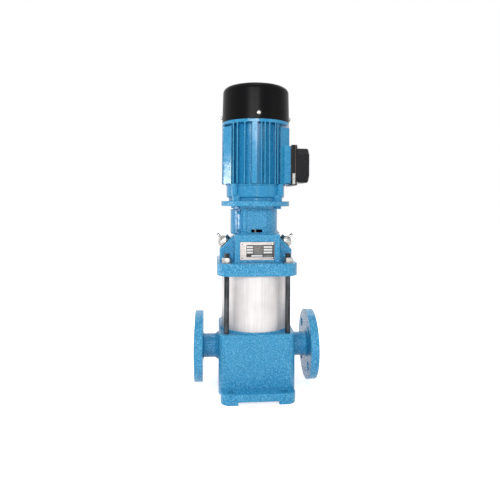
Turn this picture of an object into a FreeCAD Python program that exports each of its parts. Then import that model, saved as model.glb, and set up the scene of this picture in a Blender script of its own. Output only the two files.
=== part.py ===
import FreeCAD, Part
import math
import os
import re

import Sketcher

# Vertical multistage pump: cast base with two in-line flanges, steel sleeve held between base and
# head by four tie rods, four stages on one shaft, clamped coupling and a finned electric motor.
# Millimetres. +Z is up, X runs through the ports with the inlet at -X, the origin is under the base
# in the middle of the shaft.

SIZES = {
    # Ports and base casting
    "port_span": 246.0,
    "port_height": 80.0,
    "port_bore": 32.0,
    "port_flange": 140.0,
    "port_flange_thick": 18.0,
    "port_face": 78.0,
    "port_face_thick": 2.0,
    "port_circle": 100.0,
    "port_hole": 18.0,
    "port_hole_out": 18.4,
    "port_neck": 47.0,
    "port_root": 62.0,
    "port_sunk": 4.0,
    "port_taper": 7.0,
    "port_fillet": 5.0,
    "port_holes": 4,
    "foot_height": 6.0,
    "foot_wide": 32.0,
    "foot_deep": 34.0,
    "ledge_top": 19.5,
    "plinth_wide": 140.0,
    "plinth_deep": 210.0,
    "plinth_round": 18.0,
    "ledge_round": 2.5,
    "anchor_span_wide": 100.0,
    "anchor_span_deep": 180.0,
    "anchor_hole": 13.0,
    "base_border": 14.5,
    "base_round": 18.0,
    "base_top": 120.0,
    "base_edge": 2.0,
    "core_wall": 11.0,
    "core_roof": 40.0,
    "passage_floor": 50.0,
    "suction_bore": 60.0,
    "hub_wall": 7.0,
    "annulus_outer": 128.0,
    "bridge_wall": 5.0,
    "register_wide": 2.8,
    "register_tall": 3.0,
    "register_edge": 0.8,
    # Sleeve and tie rods
    "sleeve_diameter": 137.0,
    "sleeve_wall": 2.0,
    "sleeve_seat": 3.0,
    "seat_gap": 0.2,
    "seal_cord": 2.6,
    "barrel_height": 112.0,
    "rod_span": 119.0,
    "rod_diameter": 10.0,
    "rod_root": 24.0,
    "rod_hole_gap": 0.5,
    "nut_flats": 16.5,
    "nut_height": 8.4,
    "washer_diameter": 20.0,
    "washer_thick": 2.0,
    "rod_end": 8.0,
    # Head casting
    "head_border": 19.0,
    "head_round": 28.0,
    "head_flange": 24.0,
    "head_edge": 2.0,
    "tower_tall": 54.0,
    "tower_wide": 88.0,
    "tower_deep": 100.0,
    "tower_back": 46.0,
    "arm_reach": 73.0,
    "arm_rise": 22.0,
    "arm_deep": 44.0,
    "arm_drop": 7.0,
    "arm_fillet": 4.0,
    "seal_room": 46.0,
    "chamber_roof": 13.0,
    "shaft_window": 17.0,
    "plate_wide": 68.0,
    "plate_tall": 35.0,
    "plate_thick": 0.8,
    "plate_rise": 4.0,
    "rib_wide": 10.0,
    "rib_proud": 5.0,
    "lip_tall": 14.0,
    "rivet_head": 4.0,
    "rivet_proud": 0.8,
    "rivet_inset": 4.0,
    # Motor stool, part of the head casting
    "stool_diameter": 90.0,
    "stool_bore": 68.0,
    "stool_root": 5.0,
    "stool_neck": 3.0,
    "stool_tall": 65.0,
    "stool_flange": 140.0,
    "stool_flange_thick": 10.0,
    "spigot": 95.0,
    "spigot_deep": 3.0,
    "motor_circle": 115.0,
    "motor_bolt": 8.0,
    "motor_bolt_flats": 13.0,
    "motor_bolt_head": 5.3,
    "panel_wide": 40.0,
    "panel_tall": 50.0,
    "panel_sill": 1.0,
    "panel_wall": 4.5,
    "slot_wide": 22.0,
    "slot_tall": 6.0,
    "window_wide": 44.0,
    "window_tall": 34.0,
    "guard_reach": 51.0,
    "guard_wide": 54.0,
    "guard_tall": 48.0,
    "guard_sill": 1.5,
    "guard_sheet": 1.5,
    "guard_ear": 8.0,
    "guard_screw": 4.0,
    "guard_screw_long": 7.5,
    "guard_screw_inset": 5.5,
    "screw_head_tall": 2.2,
    "paint_gap": 0.3,
    "guard_land": 8.0,
    # Stages
    "stages": 4,
    "stage_pitch": 26.0,
    "stage_rise": 5.0,
    "spider_tall": 13.0,
    "chamber_diameter": 116.0,
    "chamber_wall": 2.5,
    "eye_diameter": 48.0,
    "guide_vanes": 8,
    "guide_height": 6.5,
    "guide_bend": 45.0,
    "guide_sheet": 2.0,
    "impeller_diameter": 92.0,
    "impeller_sheet": 1.5,
    "impeller_vanes": 6,
    "impeller_bend": 38.0,
    "vane_start": 7.0,
    "eye_gap": 0.6,
    "side_gap": 1.5,
    "vane_height": 8.0,
    "hub_diameter": 22.0,
    "spacer_diameter": 18.0,
    "bowl_height": 12.0,
    "bowl_floor": 4.0,
    "bowl_rim": 8.0,
    "bowl_ports": 6,
    "bowl_port": 10.0,
    "bowl_port_circle": 72.0,
    "bowl_window": 5.0,
    "spoke": 4.0,
    "stack_rim": 3.0,
    # Shafts, coupling and shaft seal
    "pump_shaft": 12.0,
    "motor_shaft": 14.0,
    "split_rise": 31.0,
    "shaft_end_gap": 1.0,
    "running_gap": 0.05,
    "bush_diameter": 18.0,
    "coupling_diameter": 52.0,
    "coupling_height": 42.0,
    "coupling_split": 1.0,
    "coupling_screw": 5.0,
    "coupling_screw_long": 24.0,
    "coupling_edge": 2.0,
    "coupling_screw_head": 8.0,
    "seal_ring": 24.0,
    "seal_ring_tall": 8.0,
    "seal_seat": 34.0,
    "seal_seat_tall": 9.0,
    "seal_bellows_tall": 16.0,
    "seal_folds": 4,
    "seal_fold": 3.0,
    "seal_collar": 28.0,
    "seal_collar_tall": 5.0,
    # Motor
    "shield_neck": 110.0,
    "shield_neck_tall": 7.0,
    "shield_diameter": 119.0,
    "shield_tall": 27.0,
    "shield_floor": 6.0,
    "boss_diameter": 18.0,
    "lug_rise": 4.1,
    "lug_diameter": 13.0,
    "bolt_bite": 10.0,
    "boss_roof": 2.0,
    "rim_proud": 1.8,
    "rim_tall": 3.0,
    "shield_edge": 2.0,
    "bearing_wall": 5.0,
    "shaft_step": 2.0,
    "frame_core": 114.0,
    "frame_bore": 100.0,
    "frame_envelope": 138.0,
    "frame_tall": 143.0,
    "frame_band": 6.0,
    "fin_thick": 2.4,
    "fin_pitch": 9.0,
    "pad_wide": 10.4,
    "pad_left": 13.1,
    "block_left": 51.0,
    "block_right": 45.5,
    "block_outer": 66.5,
    "block_near": 12.0,
    "block_face": 43.0,
    "block_shoulder": 24.0,
    "block_tall": 114.0,
    "stator_bore": 58.0,
    "stator_rise": 29.0,
    "stator_tall": 74.0,
    "winding_tall": 15.0,
    "winding_outer": 92.0,
    "winding_inner": 62.0,
    "air_gap": 0.4,
    "rotor_ring_tall": 8.0,
    "bearing_outer": 35.0,
    "bearing_wide": 11.0,
    "bearing_inner": 19.0,
    "bearing_lip": 29.0,
    "ball_size": 6.0,
    "race_gap": 0.1,
    "balls": 7,
    "drive_rise": 10.0,
    "fan_bearing_rise": 1.0,
    "upper_shield_tall": 14.0,
    # Fan and fan cover
    "cover_lap": 18.0,
    "cover_tall": 72.0,
    "cover_diameter": 138.0,
    "cover_crown": 134.6,
    "cover_round": 12.0,
    "cover_wall": 1.5,
    "cover_gap": 0.2,
    "cover_screw": 4.0,
    "cover_screw_long": 13.0,
    "cover_screw_rise": 11.0,
    "grille_slots": 12,
    "grille_inner": 18.0,
    "grille_outer": 52.0,
    "grille_slot": 5.0,
    "fan_diameter": 118.0,
    "fan_rise": 20.0,
    "fan_tall": 24.0,
    "fan_blades": 7,
    "fan_sheet": 2.0,
    "fan_hub": 4.0,
    "fan_rim": 16.0,
    # Terminal box
    "box_drop": 2.0,
    "box_tall": 81.0,
    "box_deep": 80.0,
    "box_pedestal": 68.2,
    "box_base_thick": 10.0,
    "box_gasket": 1.2,
    "box_cover_reach": 105.0,
    "box_cover_inset": 6.0,
    "box_cover_bevel": 12.5,
    "box_port_wide": 40.0,
    "box_port_tall": 30.0,
    "box_wall": 2.5,
    "box_screw": 4.0,
    "box_screw_head": 7.0,
    "box_screw_inset": 5.0,
    "box_post": 9.0,
    "pedestal_inset": 6.0,
    "pedestal_slope": 4.0,
    "pedestal_root": 12.0,
    "board_thick": 6.0,
    "board_wide": 44.0,
    "board_tall": 11.0,
    "board_drop": 28.0,
    "stud_pitch": 6.0,
    "studs": 6,
    "stud_diameter": 4.0,
    "stud_tall": 12.0,
    "gland_thread": 16.0,
    "gland_flats": 19.0,
    "gland_hex": 5.0,
    "gland_reach": 18.0,
    "gland_bore": 9.0,
    "clip_wide": 5.6,
    "clip_tall": 22.0,
    "clip_sheet": 1.6,
    "clip_screw": 4.0,
    # Vent plugs and drain plug
    "vent_hex": 24.0,
    "vent_collar": 28.0,
    "vent_collar_thick": 3.0,
    "vent_hex_thick": 5.0,
    "vent_cone_tall": 6.0,
    "vent_cone_top": 10.0,
    "vent_shank": 15.0,
    "vent_shank_long": 12.0,
    "vent_pin": 5.0,
    "vent_pin_root": 8.0,
    "vent_pin_proud": 3.0,
    "vent_head": 6.0,
    "vent_head_tall": 6.0,
    "vent_bar": 3.0,
    "vent_bar_long": 16.0,
    "plug_washer": 1.5,
    "drain_flats": 19.0,
    "drain_head": 8.0,
    "drain_shank": 14.0,
    "drain_shank_long": 12.0,
    "drain_level": 66.0,
}

# Places that follow from the sizes above
PLACES = {
    "base_side": "(rod_span + 2 * base_border)",
    "head_side": "(rod_span + 2 * head_border)",
    "head_low": "(base_top + barrel_height)",
    "head_ledge": "(head_low + head_flange)",
    "head_top": "(head_ledge + tower_tall)",
    "arm_knee": "(head_ledge + arm_rise)",
    "shoulder": "(head_top - arm_drop - arm_knee)",
    "plate_base": "(head_ledge + plate_rise)",
    "stage_base": "(base_top + stage_rise)",
    "hub_top": "(stage_base - spider_tall)",
    "stack_top": "(stage_base + stages * stage_pitch)",
    "seal_roof": "(head_top - chamber_roof)",
    "seal_level": "(seal_roof - seal_seat_tall)",
    "shaft_split": "(head_top + split_rise)",
    "coupling_low": "(shaft_split - coupling_height / 2)",
    "stool_top": "(head_top + stool_tall)",
    "shield_neck_top": "(stool_top + shield_neck_tall)",
    "shield_top": "(shield_neck_top + shield_tall)",
    "frame_top": "(shield_top + frame_tall)",
    "block_top": "(shield_top + block_tall)",
    "stator_low": "(shield_top + stator_rise)",
    "stator_high": "(stator_low + stator_tall)",
    "drive_bearing": "(shield_neck_top + drive_rise)",
    "fan_bearing": "(frame_top + fan_bearing_rise)",
    "cover_low": "(frame_top - cover_lap)",
    "cover_top": "(cover_low + cover_tall)",
    "cover_screw_level": "(cover_low + cover_screw_rise)",
    "fan_low": "(frame_top + fan_rise)",
    "panel_low": "(head_top + panel_sill)",
    "vent_across": "((arm_reach * 2 - shoulder) / 2)",
    "vent_level": "((arm_knee * 2 + shoulder) / 2)",
    "box_low": "(shield_top - box_drop)",
    "box_middle": "(box_low + box_tall / 2)",
    "box_back": "(box_pedestal + box_gasket)",
    "box_rim": "(box_back + box_base_thick - box_gasket - box_wall)",
    "box_face": "(box_rim + box_gasket)",
    "cover_half": "(box_deep / 2 - paint_gap)",
    "guard_low": "(head_top + guard_sill)",
    "guard_high": "(head_top + guard_tall)",
}

document = FreeCAD.newDocument("vertical_multistage_pump")
sheet = document.addObject("Spreadsheet::Sheet", "Sheet")
for row, (word, number) in enumerate(SIZES.items(), start=1):
    sheet.set(f"A{row}", word)
    sheet.set(f"B{row}", str(number))
    sheet.setAlias(f"B{row}", word)
document.recompute()

finished = []


def formula(text):
    """The text with each place written out and each size pointing at its cell."""
    def swap(match):
        word = match.group(0)
        if word in PLACES:
            return "(" + formula(PLACES[word]) + ")"
        return "Sheet." + word if word in SIZES else word
    return re.sub(r"[a-z]+(?:_[a-z]+)*", swap, str(text))


def value(text):
    """The number that a formula gives."""
    return float(sheet.evalExpression(formula(text)))


def bind(item, **formulas):
    """Ties properties of an object to formulas of the sheet's sizes."""
    for name, text in formulas.items():
        item.setExpression(name, formula(text))
    return item


def place(item, across=0, deep=0, level=0, rotation=None):
    """Turns an object and ties its position to formulas."""
    if rotation is not None:
        item.Placement = FreeCAD.Placement(FreeCAD.Vector(), rotation)
    for axis, text in (("x", across), ("y", deep), ("z", level)):
        item.setExpression(f"Placement.Base.{axis}", formula(text))
    return item


def turn(axis, degrees):
    """A rotation about one of the main axes."""
    return FreeCAD.Rotation(FreeCAD.Vector(*axis), degrees)


ALONG = {"z": None, "x": turn((0, 1, 0), 90), "-x": turn((0, 1, 0), -90),
         "y": turn((1, 0, 0), -90), "-y": turn((1, 0, 0), 90)}


def rod(radius, long, across=0, deep=0, level=0, along="z"):
    """A cylinder that starts at a point and runs along an axis."""
    item = bind(document.addObject("Part::Cylinder", "Rod"), Radius=radius, Height=long)
    return place(item, across, deep, level, ALONG[along])


def block(left, right, front, back, low, high):
    """A box between six planes."""
    item = document.addObject("Part::Box", "Block")
    bind(item, Length=f"({right}) - ({left})", Width=f"({back}) - ({front})",
         Height=f"({high}) - ({low})")
    return place(item, left, front, low)


def hexagon(flats, tall, across=0, deep=0, level=0, along="z"):
    """A hexagonal prism measured across its flats."""
    item = document.addObject("Part::Prism", "Hexagon")
    item.Polygon = 6
    bind(item, Circumradius=f"({flats}) / sqrt(3)", Height=tall)
    return place(item, across, deep, level, ALONG[along])


def fuse(*items):
    """One solid from several that touch or overlap."""
    item = document.addObject("Part::MultiFuse", "Fusion")
    item.Shapes = list(items)
    item.Refine = True
    return item


def cut(base, *tools):
    """A solid with others taken away from it."""
    item = document.addObject("Part::Cut", "Cut")
    item.Base = base
    item.Tool = tools[0] if len(tools) == 1 else fuse(*tools)
    item.Refine = True
    return item


def common(*items):
    """What several solids share."""
    item = document.addObject("Part::MultiCommon", "Common")
    item.Shapes = list(items)
    item.Refine = True
    return item


def group(items):
    """Several like solids as one sub-part."""
    item = document.addObject("Part::Compound", "Group")
    item.Links = list(items)
    return item


def keep(node, item):
    """Names a finished sub-part."""
    item.Label = node
    finished.append(item)
    return item


def plane(owner, role):
    """One of a body's own origin planes."""
    return next(part for part in owner.Origin.OriginFeatures if part.Role == role)


def outline(owner, role, points, lift=None):
    """A closed sketch through points whose coordinates are formulas."""
    sketch = owner.newObject("Sketcher::SketchObject", "Outline")
    sketch.AttachmentSupport = (plane(owner, role), [""])
    sketch.MapMode = "FlatFace"
    if lift is not None:
        sketch.setExpression("AttachmentOffset.Base.z", formula(lift))
    spots = [FreeCAD.Vector(value(across), value(up), 0) for across, up in points]
    for start, end in zip(spots, spots[1:] + spots[:1]):
        sketch.addGeometry(Part.LineSegment(start, end))
    for index, (across, up) in enumerate(points):
        following = (index + 1) % len(points)
        sketch.addConstraint(Sketcher.Constraint("Coincident", index, 2, following, 1))
        for kind, text in (("DistanceX", across), ("DistanceY", up)):
            number = sketch.addConstraint(Sketcher.Constraint(kind, -1, 1, index, 1, value(text)))
            sketch.setExpression(f"Constraints[{number}]", formula(text))
    return sketch


def turned(*points):
    """A body turned about Z from a profile of radius and level formulas."""
    owner = document.addObject("PartDesign::Body", "Turned")
    sketch = outline(owner, "XZ_Plane", points)
    spin = owner.newObject("PartDesign::Revolution", "Revolution")
    spin.Profile = sketch
    spin.ReferenceAxis = (sketch, ["V_Axis"])
    spin.Angle = 360.0
    return owner


def ring(inner, outer, low, high):
    """A turned ring, tube or disc."""
    return turned((inner, low), (outer, low), (outer, high), (inner, high))


def slab(points, role, lift, thick):
    """A body padded from a polygon on a lifted origin plane."""
    owner = document.addObject("PartDesign::Body", "Slab")
    sketch = outline(owner, role, points, lift)
    pad = owner.newObject("PartDesign::Pad", "Pad")
    pad.Profile = sketch
    bind(pad, Length=thick)
    return owner


def rounded(owner, radius, pick):
    """Fillets those edges of a body that a test picks."""
    document.recompute()
    base = owner.Tip
    names = [f"Edge{number}" for number, edge in enumerate(base.Shape.Edges, start=1) if pick(edge)]
    fillet = owner.newObject("PartDesign::Fillet", "Fillet")
    fillet.Base = (base, names)
    bind(fillet, Radius=radius)
    return owner


def upright(edge):
    """True for a straight edge parallel to Z."""
    box = edge.BoundBox
    return box.ZLength > 1.0 and box.XLength < 1e-6 and box.YLength < 1e-6


def level_edge(level):
    """A test for edges that lie at one level."""
    return lambda edge: edge.BoundBox.ZLength < 1e-6 and abs(edge.BoundBox.ZMin - value(level)) < 1e-6


def cushion(wide, deep, low, high, corner, edge):
    """A block with rounded upright corners and a rounded top edge."""
    x, y = f"({wide}) / 2", f"({deep}) / 2"
    corners = ((f"-{x}", f"-{y}"), (x, f"-{y}"), (x, y), (f"-{x}", y))
    owner = slab(corners, "XY_Plane", low, f"({high}) - ({low})")
    rounded(owner, corner, upright)
    return rounded(owner, edge, level_edge(high))


def sides():
    """The four corners round the axis as pairs of signs."""
    return [(-1, -1), (1, -1), (1, 1), (-1, 1)]


# The angle at which every vane leaves its inner circle
VANE_ANGLE = math.radians(60)


def blade(inner, outer, radius, thick, low, tall):
    """A curved vane, an arc plate that leaves one circle and ends at a larger one."""
    start, end, bend, half = value(inner), value(outer), value(radius), value(thick) / 2

    def angle_at(reach):
        return math.acos((reach ** 2 + bend ** 2 - centre ** 2) / (2 * reach * bend))

    centre = math.sqrt(start * start + bend * bend - 2 * start * bend * math.cos(VANE_ANGLE))

    def spot(reach, side):
        arm = bend + side * half
        turn_angle = math.acos((centre ** 2 + arm ** 2 - reach ** 2) / (2 * centre * arm))
        return FreeCAD.Vector(centre - arm * math.cos(turn_angle), arm * math.sin(turn_angle), value(low))

    middle = (start + end) / 2
    outside = Part.Arc(spot(start, 1), spot(middle, 1), spot(end, 1)).toShape()
    inside = Part.Arc(spot(end, -1), spot(middle, -1), spot(start, -1)).toShape()
    joins = [Part.makeLine(spot(end, 1), spot(end, -1)), Part.makeLine(spot(start, -1), spot(start, 1))]
    wire = Part.Wire([outside, joins[0], inside, joins[1]])
    return Part.Face(wire).extrude(FreeCAD.Vector(0, 0, value(tall)))


def blades(count, inner, outer, radius, thick, low, tall):
    """Evenly spaced curved vanes as one feature."""
    first = blade(inner, outer, radius, thick, low, tall)
    item = document.addObject("Part::Feature", "Blades")
    number = int(value(count))
    item.Shape = Part.makeCompound([
        first.rotated(FreeCAD.Vector(), FreeCAD.Vector(0, 0, 1), 360.0 * index / number)
        for index in range(number)])
    return item


def sleeve_groove(low, high):
    """Room for the rim of the outer sleeve."""
    return ring("sleeve_diameter / 2 - sleeve_wall - seat_gap", "sleeve_diameter / 2 + seat_gap", low, high)


def seal_groove(low):
    """Room for the sealing ring that the rim of the sleeve presses on."""
    middle = "sleeve_diameter / 2 - sleeve_wall / 2"
    return ring(f"{middle} - seal_cord / 2", f"{middle} + seal_cord / 2", low, f"{low} + seal_cord + 0.1")


def make_base():
    """Base casting: plinth on four feet, square tower, two port flanges and the water passages."""
    half_wide, half_deep = "plinth_wide / 2", "plinth_deep / 2"
    plinth = cushion("plinth_wide", "plinth_deep", 0, "ledge_top", "plinth_round", "ledge_round")
    tower = cushion("base_side", "base_side", "foot_height", "base_top", "base_round", "base_edge")
    gaps = [block(f"-{half_wide} - 1", f"{half_wide} + 1", f"foot_deep - {half_deep}",
                  f"{half_deep} - foot_deep", -1, "foot_height"),
            block(f"foot_wide - {half_wide}", f"{half_wide} - foot_wide", f"-{half_deep} - 1",
                  f"{half_deep} + 1", -1, "foot_height")]
    core = "base_side / 2 - core_wall"
    gaps.append(block(f"-({core})", core, f"-({core})", core, -1, "core_roof"))
    solids = [plinth, tower]
    for way, along in ((-1, "-x"), (1, "x")):
        branch = turned((0, 0), ("port_root / 2", 0), ("port_root / 2", "base_side / 2 - port_sunk"),
                        ("port_neck / 2", "base_side / 2 + port_taper"),
                        ("port_neck / 2", "port_span / 2 - port_flange_thick"),
                        ("port_flange / 2", "port_span / 2 - port_flange_thick"),
                        ("port_flange / 2", "port_span / 2 - port_face_thick"),
                        ("port_face / 2", "port_span / 2 - port_face_thick"),
                        ("port_face / 2", "port_span / 2"), (0, "port_span / 2"))
        back = value("port_span / 2 - port_flange_thick")
        neck = value("port_neck / 2")
        rounded(branch, "port_fillet", lambda edge: edge.BoundBox.ZLength < 1e-6
                and abs(edge.BoundBox.ZMin - back) < 1e-6 and abs(edge.BoundBox.XMax - neck) < 1e-3)
        solids.append(place(branch, 0, 0, "port_height", ALONG[along]))
    register = "sleeve_diameter / 2 + seat_gap"
    collar = ring(register, f"{register} + register_wide", "base_top - register_tall",
                  "base_top + register_tall")
    rounded(collar, "register_edge", lambda edge: level_edge("base_top + register_tall")(edge)
            and edge.BoundBox.XMax > value(f"{register} + register_wide / 2"))
    solids.append(collar)
    shell = cut(fuse(*solids), *gaps)
    annulus = ring("suction_bore / 2 + hub_wall", "annulus_outer / 2", "passage_floor", "base_top + 1")
    bridge = rod("port_bore / 2 + bridge_wall", "annulus_outer / 2 + 2", 0, 0, "port_height", "-x")
    hollows = [cut(annulus, bridge),
               ring(0, "suction_bore / 2", "passage_floor", "base_top + 1"),
               ring("suction_bore / 2 - 1", "suction_bore / 2 + hub_wall + 1", "hub_top", "base_top + 1"),
               sleeve_groove("base_top - sleeve_seat", "base_top + 1"),
               seal_groove("base_top - sleeve_seat - seal_cord"),
               rod("port_bore / 2", "port_span / 2 + 1", 0, 0, "port_height", "-x"),
               rod("port_bore / 2", "port_span / 2", "annulus_outer / 2 - 8", 0, "port_height", "x"),
               rod("drain_shank / 2", "drain_shank_long + 20", 0, "base_side / 2 + 1 - drain_shank_long - 20",
                   "drain_level", "y")]
    for across, deep in sides():
        hollows.append(rod("anchor_hole / 2", "ledge_top + 2", f"{across} * anchor_span_wide / 2",
                           f"{deep} * anchor_span_deep / 2", -1))
        hollows.append(rod("rod_diameter / 2", "rod_root + 1", f"{across} * rod_span / 2",
                           f"{deep} * rod_span / 2", "base_top - rod_root"))
    for way, along, hole in ((-1, "-x", "port_hole"), (1, "x", "port_hole_out")):
        for index in range(int(value("port_holes"))):
            angle = 45 + 360 * index / int(value("port_holes"))
            hollows.append(rod(f"{hole} / 2", "port_flange_thick + 2",
                               f"{way} * (port_span / 2 - port_flange_thick - 1)",
                               f"port_circle / 2 * cos({angle})",
                               f"port_height + port_circle / 2 * sin({angle})", along))
    keep("base_casting", cut(shell, *hollows))


def make_drain():
    """Drain plug with its washer on the back of the base."""
    face = "base_side / 2"
    keep("drain_plug", fuse(
        rod("drain_shank / 2", "drain_shank_long + plug_washer", 0, f"{face} - drain_shank_long",
            "drain_level", "y"),
        hexagon("drain_flats", "drain_head", 0, f"{face} + plug_washer", "drain_level", "y")))


def make_washers():
    """Flat washers under the drain plug and both vent plugs."""
    drain = place(ring("drain_shank / 2", "drain_flats / 2 + 1", 0, "plug_washer"),
                  0, "base_side / 2", "drain_level", ALONG["y"])
    vents = [place(ring("vent_shank / 2", "vent_collar / 2 - 1", 0, "plug_washer"),
                   f"{way} * vent_across", 0, "vent_level", turn((0, 1, 0), 45 * way))
             for way in (-1, 1)]
    keep("plug_washers", group([drain] + vents))


def make_sleeve():
    """Outer sleeve with its two sealing rings and the four tie rods, nuts and washers."""
    low, high = "base_top - sleeve_seat", "head_low + sleeve_seat"
    keep("outer_sleeve", ring("sleeve_diameter / 2 - sleeve_wall", "sleeve_diameter / 2", low, high))
    seals = []
    for level in ("base_top - sleeve_seat - seal_cord / 2", "head_low + sleeve_seat + seal_cord / 2"):
        seal = document.addObject("Part::Torus", "Seal")
        bind(seal, Radius1="sleeve_diameter / 2 - sleeve_wall / 2", Radius2="seal_cord / 2")
        seals.append(place(seal, 0, 0, level))
    keep("sleeve_seals", group(seals))
    rods, nuts, washers = [], [], []
    for across, deep in sides():
        spot = (f"{across} * rod_span / 2", f"{deep} * rod_span / 2")
        rods.append(rod("rod_diameter / 2", "rod_root + barrel_height + head_flange + washer_thick"
                        " + nut_height + rod_end", *spot, "base_top - rod_root"))
        washers.append(place(ring("rod_diameter / 2", "washer_diameter / 2", 0, "washer_thick"),
                             *spot, "head_ledge"))
        nuts.append(cut(hexagon("nut_flats", "nut_height", *spot, "head_ledge + washer_thick"),
                        rod("rod_diameter / 2", "nut_height", *spot, "head_ledge + washer_thick")))
    keep("tie_rods", group(rods))
    keep("tie_rod_nuts", group(nuts))
    keep("tie_rod_washers", group(washers))


def tilted(item, way, along, lift=0):
    """Stands a piece on one of the head's 45 degree shoulders, raised along its own axis."""
    slant = f"({lift}) / sqrt(2)"
    return place(item, f"{way} * (vent_across + {slant})", along, f"vent_level + {slant}",
                 turn((0, 1, 0), 45 * way))


def make_head():
    """Head casting: clamping flange, seal chamber, two shoulders for the vents and the motor stool."""
    flange = cushion("head_side", "head_side", "head_low", "head_ledge", "head_round", "head_edge")
    tower = block("-tower_wide / 2", "tower_wide / 2", "-tower_deep / 2", "tower_back",
                  "head_ledge - 1", "head_top")
    arms = slab((("-arm_reach", "head_ledge - 1"), ("arm_reach", "head_ledge - 1"),
                 ("arm_reach", "arm_knee"), ("arm_reach - shoulder", "arm_knee + shoulder"),
                 ("shoulder - arm_reach", "arm_knee + shoulder"), ("-arm_reach", "arm_knee")),
                "XZ_Plane", "-arm_deep / 2", "arm_deep")
    rounded(arms, "arm_fillet", lambda edge: edge.BoundBox.XMax * edge.BoundBox.XMin > 0
            and edge.BoundBox.YLength < 1e-6 and edge.BoundBox.ZLength > value("arm_fillet"))
    stool = turned((0, "head_top - 2"), ("stool_diameter / 2 + stool_root", "head_top - 2"),
                   ("stool_diameter / 2 + stool_root", "head_top + 1"),
                   ("stool_diameter / 2", "head_top + stool_root + 1"),
                   ("stool_diameter / 2", "stool_top - stool_flange_thick - stool_root"),
                   ("stool_diameter / 2 + stool_neck", "stool_top - stool_flange_thick"),
                   ("stool_flange / 2", "stool_top - stool_flange_thick"),
                   ("stool_flange / 2", "stool_top"), (0, "stool_top"))
    ribs = []
    for side in (-1, 1):
        inner, outer = "plate_wide / 2", "plate_wide / 2 + rib_wide"
        left, right = (inner, outer) if side > 0 else (f"-({outer})", f"-({inner})")
        ribs.append(block(left, right, "-tower_deep / 2 - rib_proud", "-tower_deep / 2 + 1",
                          "head_ledge - 1", "head_top"))
    ribs.append(block("-plate_wide / 2 - 1", "plate_wide / 2 + 1", "-tower_deep / 2 - rib_proud",
                      "-tower_deep / 2 + 1", "head_top - lip_tall", "head_top"))
    solid = fuse(flange, tower, arms, stool, *ribs)
    face = "stool_bore / 2 + panel_wall"
    hollows = [sleeve_groove("head_low - 1", "head_low + sleeve_seat"),
               seal_groove("head_low + sleeve_seat - 0.1"),
               ring(0, "chamber_diameter / 2 + 2", "head_low - 1", "stack_top + bowl_height"),
               ring(0, "seal_room / 2", "stack_top + bowl_height - 1", "seal_level - 2"),
               ring(0, "seal_seat / 2", "seal_level - 3", "seal_roof"),
               ring(0, "shaft_window / 2", "seal_roof - 1", "head_top + 3"),
               ring(0, "stool_bore / 2", "head_top + 2", "stool_top + 1"),
               ring(0, "spigot / 2 + running_gap", "stool_top - spigot_deep", "stool_top + 1"),
               block("-panel_wide / 2", "panel_wide / 2", "-stool_diameter", f"-({face})", "panel_low",
                     "panel_low + panel_tall"),
               block("-panel_wide / 2", "panel_wide / 2", face, "stool_diameter", "panel_low",
                     "panel_low + panel_tall"),
               block("-slot_wide / 2", "slot_wide / 2", "-stool_diameter", 0, "panel_low + 2",
                     "panel_low + 2 + slot_tall"),
               block("-stool_diameter", 0, "-window_wide / 2", "window_wide / 2",
                     "head_top + guard_land", "head_top + guard_land + window_tall"),
               common(ring("stool_diameter / 2", "stool_diameter", "guard_low - paint_gap",
                           "guard_high + paint_gap"),
                      block("-stool_diameter", 0, "-guard_wide / 2 - guard_ear - paint_gap",
                            "guard_wide / 2 + guard_ear + paint_gap", "head_top", "stool_top"))]
    for across, deep in sides():
        spot = (f"{across} * rod_span / 2", f"{deep} * rod_span / 2")
        hollows.append(rod("rod_diameter / 2 + rod_hole_gap", "head_flange + 2", *spot, "head_low - 1"))
        hollows.append(rod("washer_diameter / 2 + 1.5", "head_top", *spot, "head_ledge"))
        spot = (f"{across} * motor_circle / 2 * cos(45)", f"{deep} * motor_circle / 2 * cos(45)")
        hollows.append(rod("motor_bolt / 2 + 0.5", "stool_flange_thick + 2", *spot,
                           "stool_top - stool_flange_thick - 1"))
        hollows.append(rod("motor_bolt_flats * 0.7", "motor_bolt_head + 2", *spot,
                           "stool_top - stool_flange_thick - motor_bolt_head - 2"))
    for way in (-1, 1):
        hollows.append(tilted(rod("vent_shank / 2", "vent_shank_long + 3"), way, 0, "-vent_shank_long - 2"))
        hollows.append(tilted(rod("vent_pin / 2 + 1", "seal_room"), way, 0,
                              "-vent_shank_long - seal_room + 1"))
    for spot in guard_screw_spots():
        hollows.append(spot(rod("guard_screw / 2", "guard_screw_long + 2"),
                            "stool_diameter / 2 - guard_screw_long + guard_sheet"))
    keep("pump_head", cut(solid, *hollows))


def guard_screw_spots():
    """Places of the four guard screws as functions that set a piece radially on the stool."""
    spots = []
    reach = value("guard_wide / 2 + guard_ear / 2") / value("stool_diameter / 2")
    for side in (-1, 1):
        angle = math.degrees(math.asin(reach)) * side
        for level in ("head_top + guard_screw_inset", "head_top + guard_tall - guard_screw_inset"):
            def spot(item, radius, level=level, angle=angle):
                around = FreeCAD.Rotation(FreeCAD.Vector(0, 0, 1), 180 + angle)
                return place(item, f"-({radius}) * cos({angle:.4f})", f"-({radius}) * sin({angle:.4f})",
                             level, around.multiply(turn((0, 1, 0), 90)))
            spots.append(spot)
    return spots


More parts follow.
